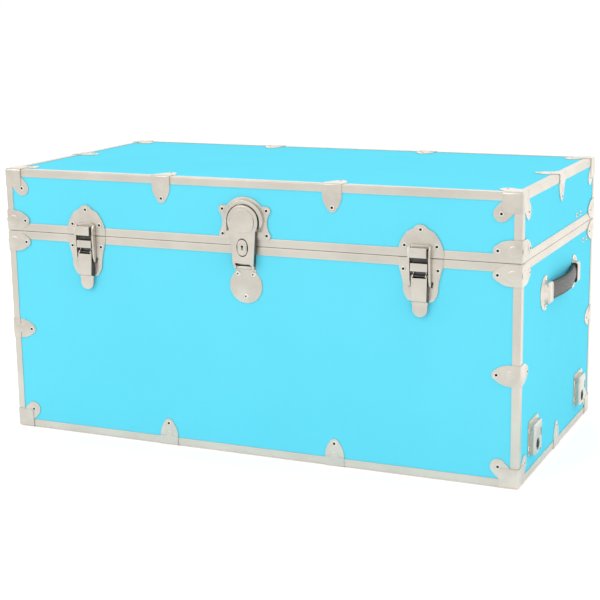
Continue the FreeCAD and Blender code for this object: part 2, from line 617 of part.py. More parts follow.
save("lock_strike_plate", front(fused(strike, ring, staple)))

plate_thick = 1.4
disc_z, disc_radius = SEAM - 58.3, 25.8
tongue = box(-HASP_HALF, HASP_HALF, disc_z, hasp_pin_z + 7.5, 0, plate_thick)
hinge_plate = fused(Part.makeCylinder(disc_radius, plate_thick, Vector(0, disc_z, 0)), tongue)
knuckle, bore = 2.9, 1.6
centre_half, hasp_knuckle = 11.4, 16.4


def barrel(x0, x1):
    return rod(knuckle, (x0, hasp_pin_z, HASP_PIN_OUT), (x1, hasp_pin_z, HASP_PIN_OUT))


hasp_bore = rod(bore + PIN_PLAY, (-40, hasp_pin_z, HASP_PIN_OUT), (40, hasp_pin_z, HASP_PIN_OUT))
web = box(-centre_half, centre_half, hasp_pin_z - knuckle + 0.5, hasp_pin_z, plate_thick - 0.2, HASP_PIN_OUT)
hinge_plate = fused(hinge_plate, barrel(-centre_half, centre_half), web).cut(hasp_bore)
case_screws = []
for a, b in ((-12, SEAM - 41), (12, SEAM - 41), (0, SEAM - 73.5)):
    hinge_plate = hinge_plate.cut(rivet_hole((a, b, 0), (0, 0, 1), plate_thick))
    case_screws.append(front(screw((a, b, 0), (0, 0, 1), plate_thick)))
save("lock_hinge_plate", front(hinge_plate))
pin = rod(bore, (-hasp_knuckle, hasp_pin_z, HASP_PIN_OUT), (hasp_knuckle, hasp_pin_z, HASP_PIN_OUT))
save("lock_hinge_pin", front(pin))


def hasp_outline(inset):
    """Strap below, round head above, drawn in by inset."""
    half, head, low = HASP_HALF - inset, HASP_HEAD - inset, hasp_pin_z + 3 + inset
    join = head_z - math.sqrt(head ** 2 - half ** 2)
    return outline((-half, low), (half, low), (half, join), ((0, head_z + head), (-half, join)))


strap = box(-HASP_HALF, HASP_HALF, hasp_pin_z + 3, head_z, HASP_BACK, HASP_FRONT)
strap = rounded(strap, 2.0, lambda p: p.z > HASP_FRONT - 0.01 and p.y < head_z - 0.01)
head = Part.makeCylinder(HASP_HEAD, HASP_FRONT - HASP_BACK, Vector(0, head_z, HASP_BACK))
head = rounded(head, 2.0, lambda p: p.z > HASP_FRONT - 0.01)
boss = Part.makeCylinder(HASP_HEAD - 4.5, 2.0, Vector(0, head_z, HASP_FRONT - 0.5))
boss = rounded(boss, 1.0, lambda p: p.z > HASP_FRONT + 1.49)
collar = outline((-7.4, key_z - 4.2), ((0, key_z - 11.6), (7.4, key_z - 4.2)),
                 (7.4, key_z + 4.2), ((0, key_z + 11.6), (-7.4, key_z + 4.2)))
collar = slab(collar, HASP_FRONT - 0.5, HASP_FRONT + 0.8)
shell = strap.fuse(head).fuse(boss).fuse(collar)
shell = shell.cut(slab(hasp_outline(CAP), HASP_BACK - 1, HASP_FRONT - CAP))
notch = centre_half + 0.6
shell = shell.cut(box(-notch, notch, hasp_pin_z, hasp_pin_z + 6.4, 0, HASP_FRONT + 1))
for s in (-1, 1):
    x0, x1 = sorted((s * notch, s * hasp_knuckle))
    web = box(x0, x1, hasp_pin_z, hasp_pin_z + 3.8, HASP_PIN_OUT - 1.8, HASP_PIN_OUT + 2.6)
    shell = shell.fuse(barrel(x0, x1).fuse(web))
shell = shell.removeSplitter().cut(hasp_bore)
shell = shell.cut(rod(KEY_RADIUS + PIN_PLAY, (0, key_z, HASP_BACK + 3), (0, key_z, HASP_FRONT + 3)))
save("hasp_shell", front(shell))

back_top = SEAM + 12
cover = slab(hasp_outline(CAP + 0.1), HASP_BACK, HASP_BACK + CAP)
cover = cover.common(box(-40, 40, 0, back_top, 0, 20))
guide_low, guide_high = HASP_BACK + CAP, HASP_BACK + CAP + 2.2
guide = [box(x, x + 1.6, key_z + 2, back_top, guide_low, guide_high) for x in (-9.2, 7.6)]
save("hasp_back_plate", front(fused(cover, *guide)))

bolt_in, bolt_out = HASP_BACK + CAP + 0.2, HASP_BACK + CAP + 2.2
bolt_top = SEAM + 15.5
slot = 1.2 + 0.25
rest = CAM_RADIUS * math.sqrt(0.5)
shape = outline((-7.2, key_z - 8), (7.2, key_z - 8), (7.2, key_z + 8), (3.4, key_z + 11), (3.4, bolt_top),
                (-3.4, bolt_top), (-3.4, key_z + 11), (-7.2, key_z + 8))
bolt = slab(shape, bolt_in, bolt_out)
bolt = bolt.cut(box(rest - 1.6, CAM_RADIUS + 1.6, key_z - rest - slot, key_z - rest + slot, 0, 20))
save("lock_bolt", front(bolt))

plug = rod(KEY_RADIUS, (0, key_z, bolt_out + 0.3), (0, key_z, HASP_FRONT + 0.8))
cam = rod(1.2, (rest, key_z - rest, bolt_in), (rest, key_z - rest, bolt_out + 0.5))
keyway = box(-0.9, 0.9, key_z - 3.6, key_z + 2.0, HASP_FRONT - 4, HASP_FRONT + 2)
keyway = keyway.fuse(rod(1.9, (0, key_z + 1.6, HASP_FRONT - 4), (0, key_z + 1.6, HASP_FRONT + 2)))
save("key_plug", front(fused(plug, cam).cut(keyway)))


# Strap handles: a bowed grip held by a closed loop at each end

def loop():
    """A rounded plate with a raised loop that opens along +x and a hood that
    slopes down to the plate behind it."""
    tall, half, tail = 25.0, 12.0, 26.0
    top = GRIP_INNER + GRIP_THICK + LOOP_PLAY
    leaf = slab(outline((0, -tall), ((half, 0), (0, tall)), ((-tail, 0), (0, -tall))), 0, CAP)
    pads = [Part.makeCylinder(5.6, CAP, Vector(0, s * (tall - 5), 0)) for s in (-1, 1)]
    hump = box(-9.5, 9.5, -15.4, 15.4, 0, top + 1.4)
    hump = rounded(hump, 4.0, lambda p: p.z > top + 1.3 and abs(p.y) > 15)
    hump = rounded(hump, 4.0, lambda p: p.z > 3 and p.x < -9.4)
    room = rounded(box(-8.1, 12, -14.0, 14.0, -1, top), 2.6, lambda p: p.z > top - 0.1 and abs(p.y) > 13.9)
    hood = Part.makeCone(tail - 7, 6.0, top - 0.6, Vector(-5, 0, 0)).common(box(-tail, -9, -tail, tail, 0, top))
    body = fused(leaf, *pads, hump, hood).cut(room)
    spots = [(0, s * (tall - 4.6)) for s in (-1, 1)]
    for a, b in spots:
        body = body.cut(rivet_hole((a, b, 0), (0, 0, 1), CAP))
    return body, [screw((a, b, 0), (0, 0, 1), CAP) for a, b in spots]


loop_shape, loop_screws = loop()
reach = HANDLE_SPAN / 2 + 6
inner_end, outer_end = GRIP_INNER, GRIP_INNER + GRIP_THICK
flat_from = HANDLE_SPAN / 2 - 10
bow_angle = 2 * math.atan((GRIP_BOW - inner_end) / flat_from)
both_radii = flat_from / math.sin(bow_angle)
middle_radius, end_radius = 0.64 * both_radii, 0.36 * both_radii


def on_bow(turn, level):
    """A point of the middle arc, and its twin on the arc near a loop."""
    radius, rise = middle_radius + level, GRIP_BOW - middle_radius
    twin, height = end_radius - level, inner_end + end_radius
    middle = (radius * math.sin(turn), rise + radius * math.cos(turn))
    return middle, (flat_from - twin * math.sin(turn), height - twin * math.cos(turn))


def mirrored(point):
    return (-point[0], point[1])


def grip_edge(level, end):
    """One long edge of the grip, from the left end to the right end."""
    join, bend = on_bow(bow_angle, level)[0], on_bow(bow_angle / 2, level)[1]
    return [(-reach, end), (-flat_from, end), (mirrored(bend), mirrored(join)),
            ((0, GRIP_BOW + level), join), (bend, (flat_from, end)), (reach, end)]


def reverse(steps):
    """The same edge run from its last point to its first."""
    ends = [step[1] if isinstance(step[0], tuple) else step for step in steps]
    back = [ends[-1]]
    for step, before in zip(reversed(steps[1:]), reversed(ends[:-1])):
        back.append((step[0], before) if isinstance(step[0], tuple) else before)
    return back


grip = outline(*grip_edge(0, inner_end), *reverse(grip_edge(GRIP_THICK, outer_end)))
grip = moved(grip, frame(Vector(0, -GRIP_HALF, 0), X, Z)).extrude(Vector(0, 2 * GRIP_HALF, 0))
grip = rounded(grip, 1.6, lambda p: abs(abs(p.y) - GRIP_HALF) < 0.01 and abs(p.x) < 1 and p.z > GRIP_BOW + 1)
for side in ("left", "right"):
    loops = []
    for s in (-1, 1):
        place = frame(Vector(s * HANDLE_SPAN / 2, HANDLE_Z, 0), -s * X, -s * Y)
        loops.append(moved(moved(loop_shape, place), FACE[side]))
        case_screws.extend(moved(moved(item, place), FACE[side]) for item in loop_screws)
    save(side + "_handle_loops", *loops)
    strap = moved(grip, frame(Vector(0, HANDLE_Z, 0), X, Y))
    save(side + "_handle_grip", moved(strap, FACE[side]))


# Wheel sockets: pockets that a wheel bracket pushes up into

half_w, half_t = SOCKET_WIDE / 2, SOCKET_TALL / 2
flange = slab(outline((-half_w, -half_t), (half_w, -half_t), (half_w, half_t - 4), (half_w - 4, half_t),
                      (-half_w + 4, half_t), (-half_w, half_t - 4)), 0, CAP)
pocket_half, pocket_top, wall = half_w - 7.9, half_t - 6, 1.5
pocket = box(-pocket_half, pocket_half, -half_t, pocket_top, 0, SOCKET_OUT)
pocket = rounded(pocket, 3.0, lambda p: p.z > SOCKET_OUT - 0.01 and p.y > -half_t + 0.1)
room = box(-pocket_half + wall, pocket_half - wall, -half_t - 1, pocket_top - wall, CAP, SOCKET_OUT - wall)
socket = fused(flange, pocket).cut(room)
socket = socket.cut(rod(8.5, (-4, -half_t + 13, CAP), (-4, -half_t + 13, SOCKET_OUT + 1)))
socket = socket.cut(box(10, 14, -4, 8, SOCKET_OUT - wall - 1, SOCKET_OUT + 1))
socket = socket.cut(box(2, 14, -half_t - 1, -half_t + 3.5, SOCKET_OUT - wall - 1, SOCKET_OUT + 1))
socket_spots = [(s * (half_w - 3.9), b) for s in (-1, 1) for b in (-half_t + 10, half_t - 14)]
for a, b in socket_spots:
    socket = socket.cut(rivet_hole((a, b, 0), (0, 0, 1), CAP))
sockets = []
for y in (-SOCKET_Y, SOCKET_Y):
    place = frame(Vector(y, SOCKET_Z, 0), X, Y)
    sockets.append(moved(moved(socket, place), FACE["right"]))
    for a, b in socket_spots:
        item = rivet((a, b, 0), (0, 0, 1), CAP)
        case_rivets.append(moved(moved(item, place), FACE["right"]))
save("wheel_sockets", *sockets)


# Hinges: two leaves whose knuckles share a pin, three along the back

def leaf(sign):
    """sign is -1 for the case leaf with outer knuckles, +1 for the lid leaf."""
    near, far = SEAM + sign * 0.8, SEAM + sign * HINGE_LEAF
    h = HINGE_HALF
    steps = [(-h, near), (-h, far - sign * 12), ((-h + 4, far - sign * 4), (-h + 12, far)), (h - 12, far),
             ((h - 4, far - sign * 4), (h, far - sign * 12)), (h, near)]
    plate = slab(outline(*steps), 0, PROUD)
    rim_far = SEAM + sign * (RIM + EASE)
    plate = plate.cut(band_zone(h + 5, min(SEAM, rim_far), max(SEAM, rim_far)))
    spans = [(-h, -10.2), (10.2, h)] if sign < 0 else [(-9.8, 9.8)]
    others = [(-10.2, 10.2)] if sign < 0 else [(-h - 1, -9.8), (9.8, h + 1)]
    for x0, x1 in others:
        plate = plate.cut(rod(4.0, (x0, SEAM, HINGE_OUT), (x1, SEAM, HINGE_OUT)))
    for x0, x1 in spans:
        web_low, web_high = sorted((SEAM + sign * 0.5, SEAM + sign * 3.1))
        plate = plate.fuse(box(x0, x1, web_low, web_high, BAND, HINGE_OUT))
        plate = plate.fuse(rod(3.6, (x0, SEAM, HINGE_OUT), (x1, SEAM, HINGE_OUT)))
    bore_line = rod(PIN_RADIUS + PIN_PLAY, (-h - 1, SEAM, HINGE_OUT), (h + 1, SEAM, HINGE_OUT))
    plate = plate.removeSplitter().cut(bore_line)
    spots = [(a, SEAM + sign * 26) for a in (-19, 19)] + [(0, SEAM + sign * 20)]
    return plate, spots


hinge_pin = rod(PIN_RADIUS, (-HINGE_HALF, SEAM, HINGE_OUT), (HINGE_HALF, SEAM, HINGE_OUT))
lower_leaves, upper_leaves, hinge_pins = [], [], []
for sign, leaves, rivets in ((-1, lower_leaves, case_rivets), (1, upper_leaves, lid_rivets)):
    plate, spots = leaf(sign)
    for a, b in spots:
        plate = plate.cut(rivet_hole((a, b, 0), (0, 0, 1), PROUD))
    for x in (-HINGE_X, 0, HINGE_X):
        place = frame(Vector(x, 0, 0), X, Y)
        leaves.append(moved(moved(plate, place), FACE["back"]))
        rivets.extend(moved(moved(rivet((a, b, 0), (0, 0, 1), PROUD), place), FACE["back"]) for a, b in spots)
for x in (-HINGE_X, 0, HINGE_X):
    hinge_pins.append(moved(moved(hinge_pin, frame(Vector(x, 0, 0), X, Y)), FACE["back"]))
save("hinge_case_leaves", *lower_leaves)
save("hinge_lid_leaves", *upper_leaves)
save("hinge_pins", *hinge_pins)


# Lid stays: a slotted arm hangs from the lid and slides over a stud on the case

def from_hinge(rise):
    """The y of a point on the stay circle, at a height over the seam."""
    return HINGE_Y - math.sqrt(STAY_RADIUS ** 2 - rise ** 2)


lid_pivot = (from_hinge(STAY_LID_RISE), SEAM + STAY_LID_RISE)
case_stud = (from_hinge(STAY_CASE_DROP), SEAM - STAY_CASE_DROP)
closed_reach = math.dist(lid_pivot, case_stud)
spread = math.asin(STAY_LID_RISE / STAY_RADIUS) + math.asin(STAY_CASE_DROP / STAY_RADIUS)
open_reach = 2 * STAY_RADIUS * math.sin((spread + math.radians(STAY_OPEN)) / 2)
hang = math.degrees(math.atan2(case_stud[0] - lid_pivot[0], lid_pivot[1] - case_stud[1]))
inner_face = HALF_W - WALL
plate_t, arm_in = 1.6, 2.2

arm_half, slot_half = 7.0, STUD_RADIUS + PIN_PLAY
foot = -(open_reach + slot_half + 6)
arm = outline((-arm_half, 0), (-arm_half, foot + arm_half), ((0, foot), (arm_half, foot + arm_half)),
              (arm_half, 0), ((0, arm_half), (-arm_half, 0)))
arm = slab(arm, 0, ARM_THICK)
slot_face = outline((-slot_half, -closed_reach), (-slot_half, -open_reach),
                    ((0, -open_reach - slot_half), (slot_half, -open_reach)),
                    (slot_half, -closed_reach), ((0, -closed_reach + slot_half), (-slot_half, -closed_reach)))
arm = arm.cut(slab(slot_face, -1, 5)).cut(rod(STUD_RADIUS + PIN_PLAY, (0, 0, -1), (0, 0, 5)))
arm.rotate(Vector(0, 0, 0), Z, hang)


def stay_plate(length, centre):
    """A rounded strip with a headed stud; local x runs along the wall and the
    local origin is the stud."""
    half = 8.5
    x0, x1 = centre - length / 2, centre + length / 2
    strip = outline((x0 + half, -half), (x1 - half, -half), ((x1, 0), (x1 - half, half)),
                    (x0 + half, half), ((x0, 0), (x0 + half, -half)))
    stud = rod(STUD_RADIUS, (0, 0, plate_t - 0.2), (0, 0, arm_in + ARM_THICK + 0.2))
    washer = rod(STUD_RADIUS + 2.2, (0, 0, arm_in + ARM_THICK + 0.2), (0, 0, arm_in + ARM_THICK + 1.4))
    return fused(slab(strip, 0, plate_t), stud, washer)


# The stay rivets come through the end walls, two in the lid and two in the case
lid_marks, case_marks = [HALF_D - mark for mark in LID_MARKS], [HALF_D - mark for mark in CASE_MARKS]
lid_plates, case_plates = [], []
for side, sx in (("left", -1), ("right", 1)):
    wall_frame = frame(Vector(sx * inner_face, 0, 0), -sx * Y, Z)

    def inside(shape, y, z):
        place = frame(Vector(-sx * y, z, 0), X, Y)
        return moved(moved(shape, place), wall_frame)
    toward = -sx
    lid_plate = stay_plate(STAY_STRIP, toward * ((lid_marks[0] + lid_marks[1]) / 2 - lid_pivot[0] + 8))
    case_plate = stay_plate(STAY_STRIP, toward * ((case_marks[0] + case_marks[1]) / 2 - case_stud[0] - 8))
    lid_plates.append(inside(lid_plate, *lid_pivot))
    case_plates.append(inside(case_plate, *case_stud))
    hung = arm.copy() if sx < 0 else arm.mirror(Vector(0, 0, 0), X)
    hung.translate(Z * arm_in)
    save(side + "_stay_arm", inside(hung, *lid_pivot))
    for y in lid_marks:
        place = frame(Vector(sx * y, SEAM + 20, 0), X, Y)
        lid_rivets.append(moved(moved(rivet((0, 0, 0), (0, 0, 1), 0.4), place), FACE[side]))
    for y in case_marks:
        place = frame(Vector(sx * y, SEAM - 25.5, 0), X, Y)
        case_rivets.append(moved(moved(rivet((0, 0, 0), (0, 0, 1), 0.4), place), FACE[side]))

save("stay_lid_plates", *lid_plates)
save("stay_case_plates", *case_plates)
save("case_rivets", *case_rivets)
save("lid_rivets", *lid_rivets)
save("case_screws", *case_screws)
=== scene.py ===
# %% [markdown]
# A storage trunk: a plywood box and lid covered in aqua vinyl, with satin
# metal bindings, pressed corners and clamps, two draw latches, a hasp lock
# and a dark strap handle at each end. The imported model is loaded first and
# stays where it is. Each later cell dresses it: finishes go on the solids,
# and finer pieces stand in for the ones that need softer forms.

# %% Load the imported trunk
import json
import math
import bmesh
import bpy
from mathutils import Matrix, Vector

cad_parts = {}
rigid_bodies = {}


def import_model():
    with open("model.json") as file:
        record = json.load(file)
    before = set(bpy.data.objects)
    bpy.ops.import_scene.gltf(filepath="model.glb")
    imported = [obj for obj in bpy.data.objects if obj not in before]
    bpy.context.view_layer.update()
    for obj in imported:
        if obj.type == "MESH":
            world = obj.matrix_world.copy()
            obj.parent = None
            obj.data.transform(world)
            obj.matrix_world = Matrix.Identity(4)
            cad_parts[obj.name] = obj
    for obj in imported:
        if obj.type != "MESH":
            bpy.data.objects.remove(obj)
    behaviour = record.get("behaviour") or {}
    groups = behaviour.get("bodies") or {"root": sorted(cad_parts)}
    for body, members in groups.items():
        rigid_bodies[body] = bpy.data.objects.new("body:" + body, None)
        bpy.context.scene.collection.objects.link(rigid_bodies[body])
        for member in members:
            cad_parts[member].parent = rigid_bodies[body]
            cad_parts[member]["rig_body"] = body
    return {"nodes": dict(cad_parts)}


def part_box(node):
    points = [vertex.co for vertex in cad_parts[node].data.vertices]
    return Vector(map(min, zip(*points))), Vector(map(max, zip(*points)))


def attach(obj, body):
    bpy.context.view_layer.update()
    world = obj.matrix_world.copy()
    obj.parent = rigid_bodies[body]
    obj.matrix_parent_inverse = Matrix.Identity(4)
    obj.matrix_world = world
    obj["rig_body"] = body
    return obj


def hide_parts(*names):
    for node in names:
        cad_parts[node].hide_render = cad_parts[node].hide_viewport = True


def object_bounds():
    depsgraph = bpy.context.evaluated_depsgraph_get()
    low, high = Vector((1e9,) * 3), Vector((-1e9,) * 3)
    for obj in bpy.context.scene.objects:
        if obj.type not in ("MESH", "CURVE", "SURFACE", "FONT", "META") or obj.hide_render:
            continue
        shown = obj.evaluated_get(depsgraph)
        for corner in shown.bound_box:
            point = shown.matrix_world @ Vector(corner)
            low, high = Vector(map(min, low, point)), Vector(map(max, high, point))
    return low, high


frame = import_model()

nodes = frame["nodes"]
cad_box = [list(corner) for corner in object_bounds()]
MM = 0.001
print("nodes", len(nodes), "box", cad_box)

# %% [markdown]
# Several finishes share the same small effects, so each effect is a node
# group with named sockets. "Handling" gives soft smudges and a fine speck,
# as on metal that hands have touched. "Pebble" gives the height of a fine
# embossed grain, as on vinyl and on leather. Both read a vector that the
# material passes in, so one group serves every scale.

# %% Node groups for smudges and grain
def new_group(name, inputs, outputs):
    group = bpy.data.node_groups.new(name, "ShaderNodeTree")
    for label, kind in inputs:
        group.interface.new_socket(label, in_out="INPUT", socket_type=kind)
    for label, kind in outputs:
        group.interface.new_socket(label, in_out="OUTPUT", socket_type=kind)
    source = group.nodes.new("NodeGroupInput")
    target = group.nodes.new("NodeGroupOutput")
    return group, source.outputs, target.inputs


def noise(tree, vector, scale, detail, roughness=0.5):
    node = tree.nodes.new("ShaderNodeTexNoise")
    node.inputs["Detail"].default_value = detail
    node.inputs["Roughness"].default_value = roughness
    tree.links.new(vector, node.inputs["Vector"])
    if isinstance(scale, float):
        node.inputs["Scale"].default_value = scale
    else:
        tree.links.new(scale, node.inputs["Scale"])
    return node.outputs["Fac"]


def span(tree, value, low, high, out_low=0.0, out_high=1.0):
    """Map a value from one range to another, and stop at the ends."""
    node = tree.nodes.new("ShaderNodeMapRange")
    for label, number in (("From Min", low), ("From Max", high), ("To Min", out_low), ("To Max", out_high)):
        node.inputs[label].default_value = number
    tree.links.new(value, node.inputs["Value"])
    return node.outputs["Result"]


def maths(tree, kind, first, second):
    node = tree.nodes.new("ShaderNodeMath")
    node.operation = kind
    for socket, value in zip(node.inputs, (first, second)):
        if isinstance(value, (int, float)):
            socket.default_value = value
        else:
            tree.links.new(value, socket)
    return node.outputs["Value"]


handling, source, target = new_group(
    "Handling", [("Vector", "NodeSocketVector"), ("Patch", "NodeSocketFloat"), ("Fine", "NodeSocketFloat")],
    [("Smudge", "NodeSocketFloat"), ("Speck", "NodeSocketFloat")])
patches = span(handling, noise(handling, source["Vector"], source["Patch"], 4.0, 0.6), 0.38, 0.66)
handling.links.new(patches, target["Smudge"])
handling.links.new(noise(handling, source["Vector"], source["Fine"], 3.0), target["Speck"])

pebble, source, target = new_group(
    "Pebble", [("Vector", "NodeSocketVector"), ("Size", "NodeSocketFloat")],
    [("Height", "NodeSocketFloat"), ("Valley", "NodeSocketFloat")])
cells = pebble.nodes.new("ShaderNodeTexVoronoi")
cells.feature = "SMOOTH_F1"
cells.inputs["Smoothness"].default_value = 0.6
pebble.links.new(source["Vector"], cells.inputs["Vector"])
pebble.links.new(source["Size"], cells.inputs["Scale"])
rough = noise(pebble, source["Vector"], source["Size"], 3.0)
height = maths(pebble, "SUBTRACT", rough, maths(pebble, "MULTIPLY", cells.outputs["Distance"], 0.7))
pebble.links.new(height, target["Height"])
pebble.links.new(span(pebble, cells.outputs["Distance"], 0.25, 0.75), target["Valley"])
print("groups", [group.name for group in bpy.data.node_groups])

# %% [markdown]
# A finish starts as one Principled shader with its plain values set on the
# shader's own sockets. The groups then vary colour, roughness and the bump
# a little. Real vinyl and plated steel look plain from afar and only show
# their grain up close, so the variation stays small.

# %% The finish maker
def set_color(socket, color):
    socket.default_value = (*color, 1.0)


def begin(name, color, roughness, metallic=0.0):
    material = bpy.data.materials.new(name)
    material.use_nodes = True
    tree = material.node_tree
    shader = tree.nodes["Principled BSDF"]
    set_color(shader.inputs["Base Color"], color)
    shader.inputs["Roughness"].default_value = roughness
    shader.inputs["Metallic"].default_value = metallic
    place = tree.nodes.new("ShaderNodeTexCoord").outputs["Object"]
    return material, tree, shader, place


def use_group(tree, group, place, **values):
    node = tree.nodes.new("ShaderNodeGroup")
    node.node_tree = group
    tree.links.new(place, node.inputs["Vector"])
    for label, number in values.items():
        node.inputs[label].default_value = number
    return node.outputs


def tint(tree, shader, mask, first, second):
    """Let the colour run from the first to the second as the mask rises."""
    node = tree.nodes.new("ShaderNodeMix")
    node.data_type = "RGBA"
    tree.links.new(mask, node.inputs["Factor"])
    for label, color in (("A", first), ("B", second)):
        socket = [item for item in node.inputs if item.name == label and item.type == "RGBA"][0]
        set_color(socket, color)
    tone = [item for item in node.outputs if item.type == "RGBA"][0]
    tree.links.new(tone, shader.inputs["Base Color"])


def add_bump(tree, shader, height, strength, distance):
    node = tree.nodes.new("ShaderNodeBump")
    node.inputs["Strength"].default_value = strength
    node.inputs["Distance"].default_value = distance
    tree.links.new(height, node.inputs["Height"])
    tree.links.new(node.outputs["Normal"], shader.inputs["Normal"])


def metal(name, color, worn, roughness, patch, fine, dent):
    """Plated or brushed metal: smudges shift its colour and its shine."""
    material, tree, shader, place = begin(name, color, roughness, 1.0)
    marks = use_group(tree, handling, place, Patch=patch, Fine=fine)
    tint(tree, shader, marks["Smudge"], color, worn)
    shine = span(tree, marks["Speck"], 0.3, 0.7, roughness - 0.05, roughness + 0.09)
    tree.links.new(shine, shader.inputs["Roughness"])
    add_bump(tree, shader, marks["Speck"], dent, 0.0004)
    return material


nickel = metal("nickel plate", (0.70, 0.65, 0.575), (0.61, 0.565, 0.50), 0.34, 26.0, 420.0, 0.10)
bright = metal("bright nickel", (0.84, 0.81, 0.75), (0.76, 0.73, 0.67), 0.34, 60.0, 800.0, 0.06)
aluminium = metal("satin aluminium", (0.69, 0.645, 0.57), (0.635, 0.59, 0.52), 0.40, 14.0, 700.0, 0.08)
# A dark copy of the metal that stands for shade: painted shade on sides, hollows and gaps.
painted_shade_metal = metal("painted shade steel", (0.16, 0.155, 0.145), (0.10, 0.10, 0.095), 0.45, 30.0, 500.0, 0.1)
print("metals", nickel.name, bright.name, aluminium.name, painted_shade_metal.name)

# %% [markdown]
# The covering is a matte aqua vinyl with a very fine pebble. Its colour is
# even in the photograph, so the mask only shifts it by a few percent. The
# strap is dark leather with a deeper grain and darker edges, and the
# inside of the trunk has a pale paper lining over bare plywood.

# %% Vinyl, strap, lining and plywood finishes
AQUA, AQUA_HANDLED = (0.147, 0.745, 0.925), (0.142, 0.730, 0.910)
vinyl, tree, shader, place = begin("aqua vinyl", AQUA, 0.60)
grain = use_group(tree, pebble, place, Size=760.0)
marks = use_group(tree, handling, place, Patch=7.0, Fine=300.0)
tint(tree, shader, marks["Smudge"], AQUA, AQUA_HANDLED)
tree.links.new(span(tree, grain["Valley"], 0.0, 1.0, 0.52, 0.62), shader.inputs["Roughness"])
shader.inputs["Specular IOR Level"].default_value = 0.0
add_bump(tree, shader, grain["Height"], 0.12, 0.0003)

strap_face, tree, shader, place = begin("strap face", (0.115, 0.112, 0.105), 0.50)
grain = use_group(tree, pebble, place, Size=900.0)
tint(tree, shader, grain["Valley"], (0.150, 0.146, 0.138), (0.070, 0.068, 0.064))
tree.links.new(span(tree, grain["Valley"], 0.0, 1.0, 0.44, 0.62), shader.inputs["Roughness"])
add_bump(tree, shader, grain["Height"], 0.35, 0.0006)

strap_edge, tree, shader, place = begin("strap edge", (0.022, 0.022, 0.022), 0.60)
grain = use_group(tree, pebble, place, Size=1300.0)
tint(tree, shader, grain["Valley"], (0.032, 0.031, 0.030), (0.012, 0.012, 0.012))
add_bump(tree, shader, grain["Height"], 0.25, 0.0004)

thread, tree, shader, place = begin("strap thread", (0.045, 0.043, 0.040), 0.75)
marks = use_group(tree, handling, place, Patch=400.0, Fine=2600.0)
tint(tree, shader, marks["Speck"], (0.065, 0.062, 0.058), (0.025, 0.024, 0.023))

lining_paper, tree, shader, place = begin("lining paper", (0.80, 0.78, 0.73), 0.85)
marks = use_group(tree, handling, place, Patch=40.0, Fine=1400.0)
tint(tree, shader, marks["Speck"], (0.84, 0.82, 0.77), (0.70, 0.68, 0.63))
add_bump(tree, shader, marks["Speck"], 0.15, 0.0003)

plywood, tree, shader, place = begin("plywood", (0.60, 0.44, 0.27), 0.65)
stretch = tree.nodes.new("ShaderNodeMapping")
stretch.inputs["Scale"].default_value = (4.0, 60.0, 60.0)
tree.links.new(place, stretch.inputs["Vector"])
rings = noise(tree, stretch.outputs["Vector"], 3.0, 5.0, 0.6)
tint(tree, shader, rings, (0.68, 0.51, 0.32), (0.48, 0.33, 0.19))
add_bump(tree, shader, rings, 0.2, 0.0004)

# Near-black paint that stands for shade: the holes of the rivets and screws, and the shadow line round the
# key plate.
painted_shadow_black, tree, shader, place = begin("painted shadow black", (0.012, 0.012, 0.012), 0.7)
marks = use_group(tree, handling, place, Patch=200.0, Fine=900.0)
tint(tree, shader, marks["Speck"], (0.016, 0.015, 0.014), (0.008, 0.008, 0.008))
print("finishes", [material.name for material in bpy.data.materials])

# %% [markdown]
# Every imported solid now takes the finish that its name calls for. A solid
# whose shape is already right keeps showing, so this cell alone gives a
# complete, if sharp-edged, trunk.

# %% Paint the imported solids
def paint(piece, *materials):
    piece.data.materials.clear()
    for material in materials:
        piece.data.materials.append(material)


def finish_for(name):
    if name.endswith("_covering"):
        return vinyl
    if name.endswith("_lining"):
        return lining_paper
    if name.endswith("_panel"):
        return plywood
    if name.endswith(("_edge_bindings", "_rim_band")):
        return aluminium
    if name.endswith("_grip"):
        return strap_face
    return nickel


for name, piece in nodes.items():
    paint(piece, finish_for(name))
print("painted", len(nodes))

# %% [markdown]
# Pressed metal never has a knife edge. A copy of each stamping is merged
# into one skin, flat triangles are joined, and its sharp edges get a small
# bevel that catches the light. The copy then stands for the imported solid.

# %% Soft-edged copies of the stampings
collection = bpy.context.scene.collection
WELD = 2e-6
FLAT_WITHIN = math.radians(0.6)
SHARP_FROM = math.radians(32)
SMOOTH_UP_TO = math.radians(28)
SHEET_SOFT, BINDING_SOFT, KEY_SOFT = 0.35 * MM, 0.30 * MM, 0.20 * MM


def mesh_from(shape, name):
    """Turn a working shape into a mesh, and let the shape go."""
    mesh = bpy.data.meshes.new(name)
    shape.to_mesh(mesh)
    shape.free()
    return mesh


def add_piece(name, shape, body, slot, *materials):
    mesh = mesh_from(shape, name)
    piece = bpy.data.objects.new(name, mesh)
    collection.objects.link(piece)
    for material in materials:
        mesh.materials.append(material)
    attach(piece, body)
    return piece


def shade(piece):
    """Smooth shading up to an angle, and crisp edges past it."""
    for face in piece.data.polygons:
        face.use_smooth = True
    piece.data.set_sharp_from_angle(angle=SMOOTH_UP_TO)


def merged(node):
    shape = bmesh.new()
    shape.from_mesh(nodes[node].data)
    bmesh.ops.remove_doubles(shape, verts=shape.verts[:], dist=WELD)
    bmesh.ops.dissolve_limit(shape, angle_limit=FLAT_WITHIN, verts=shape.verts[:], edges=shape.edges[:])
    return shape


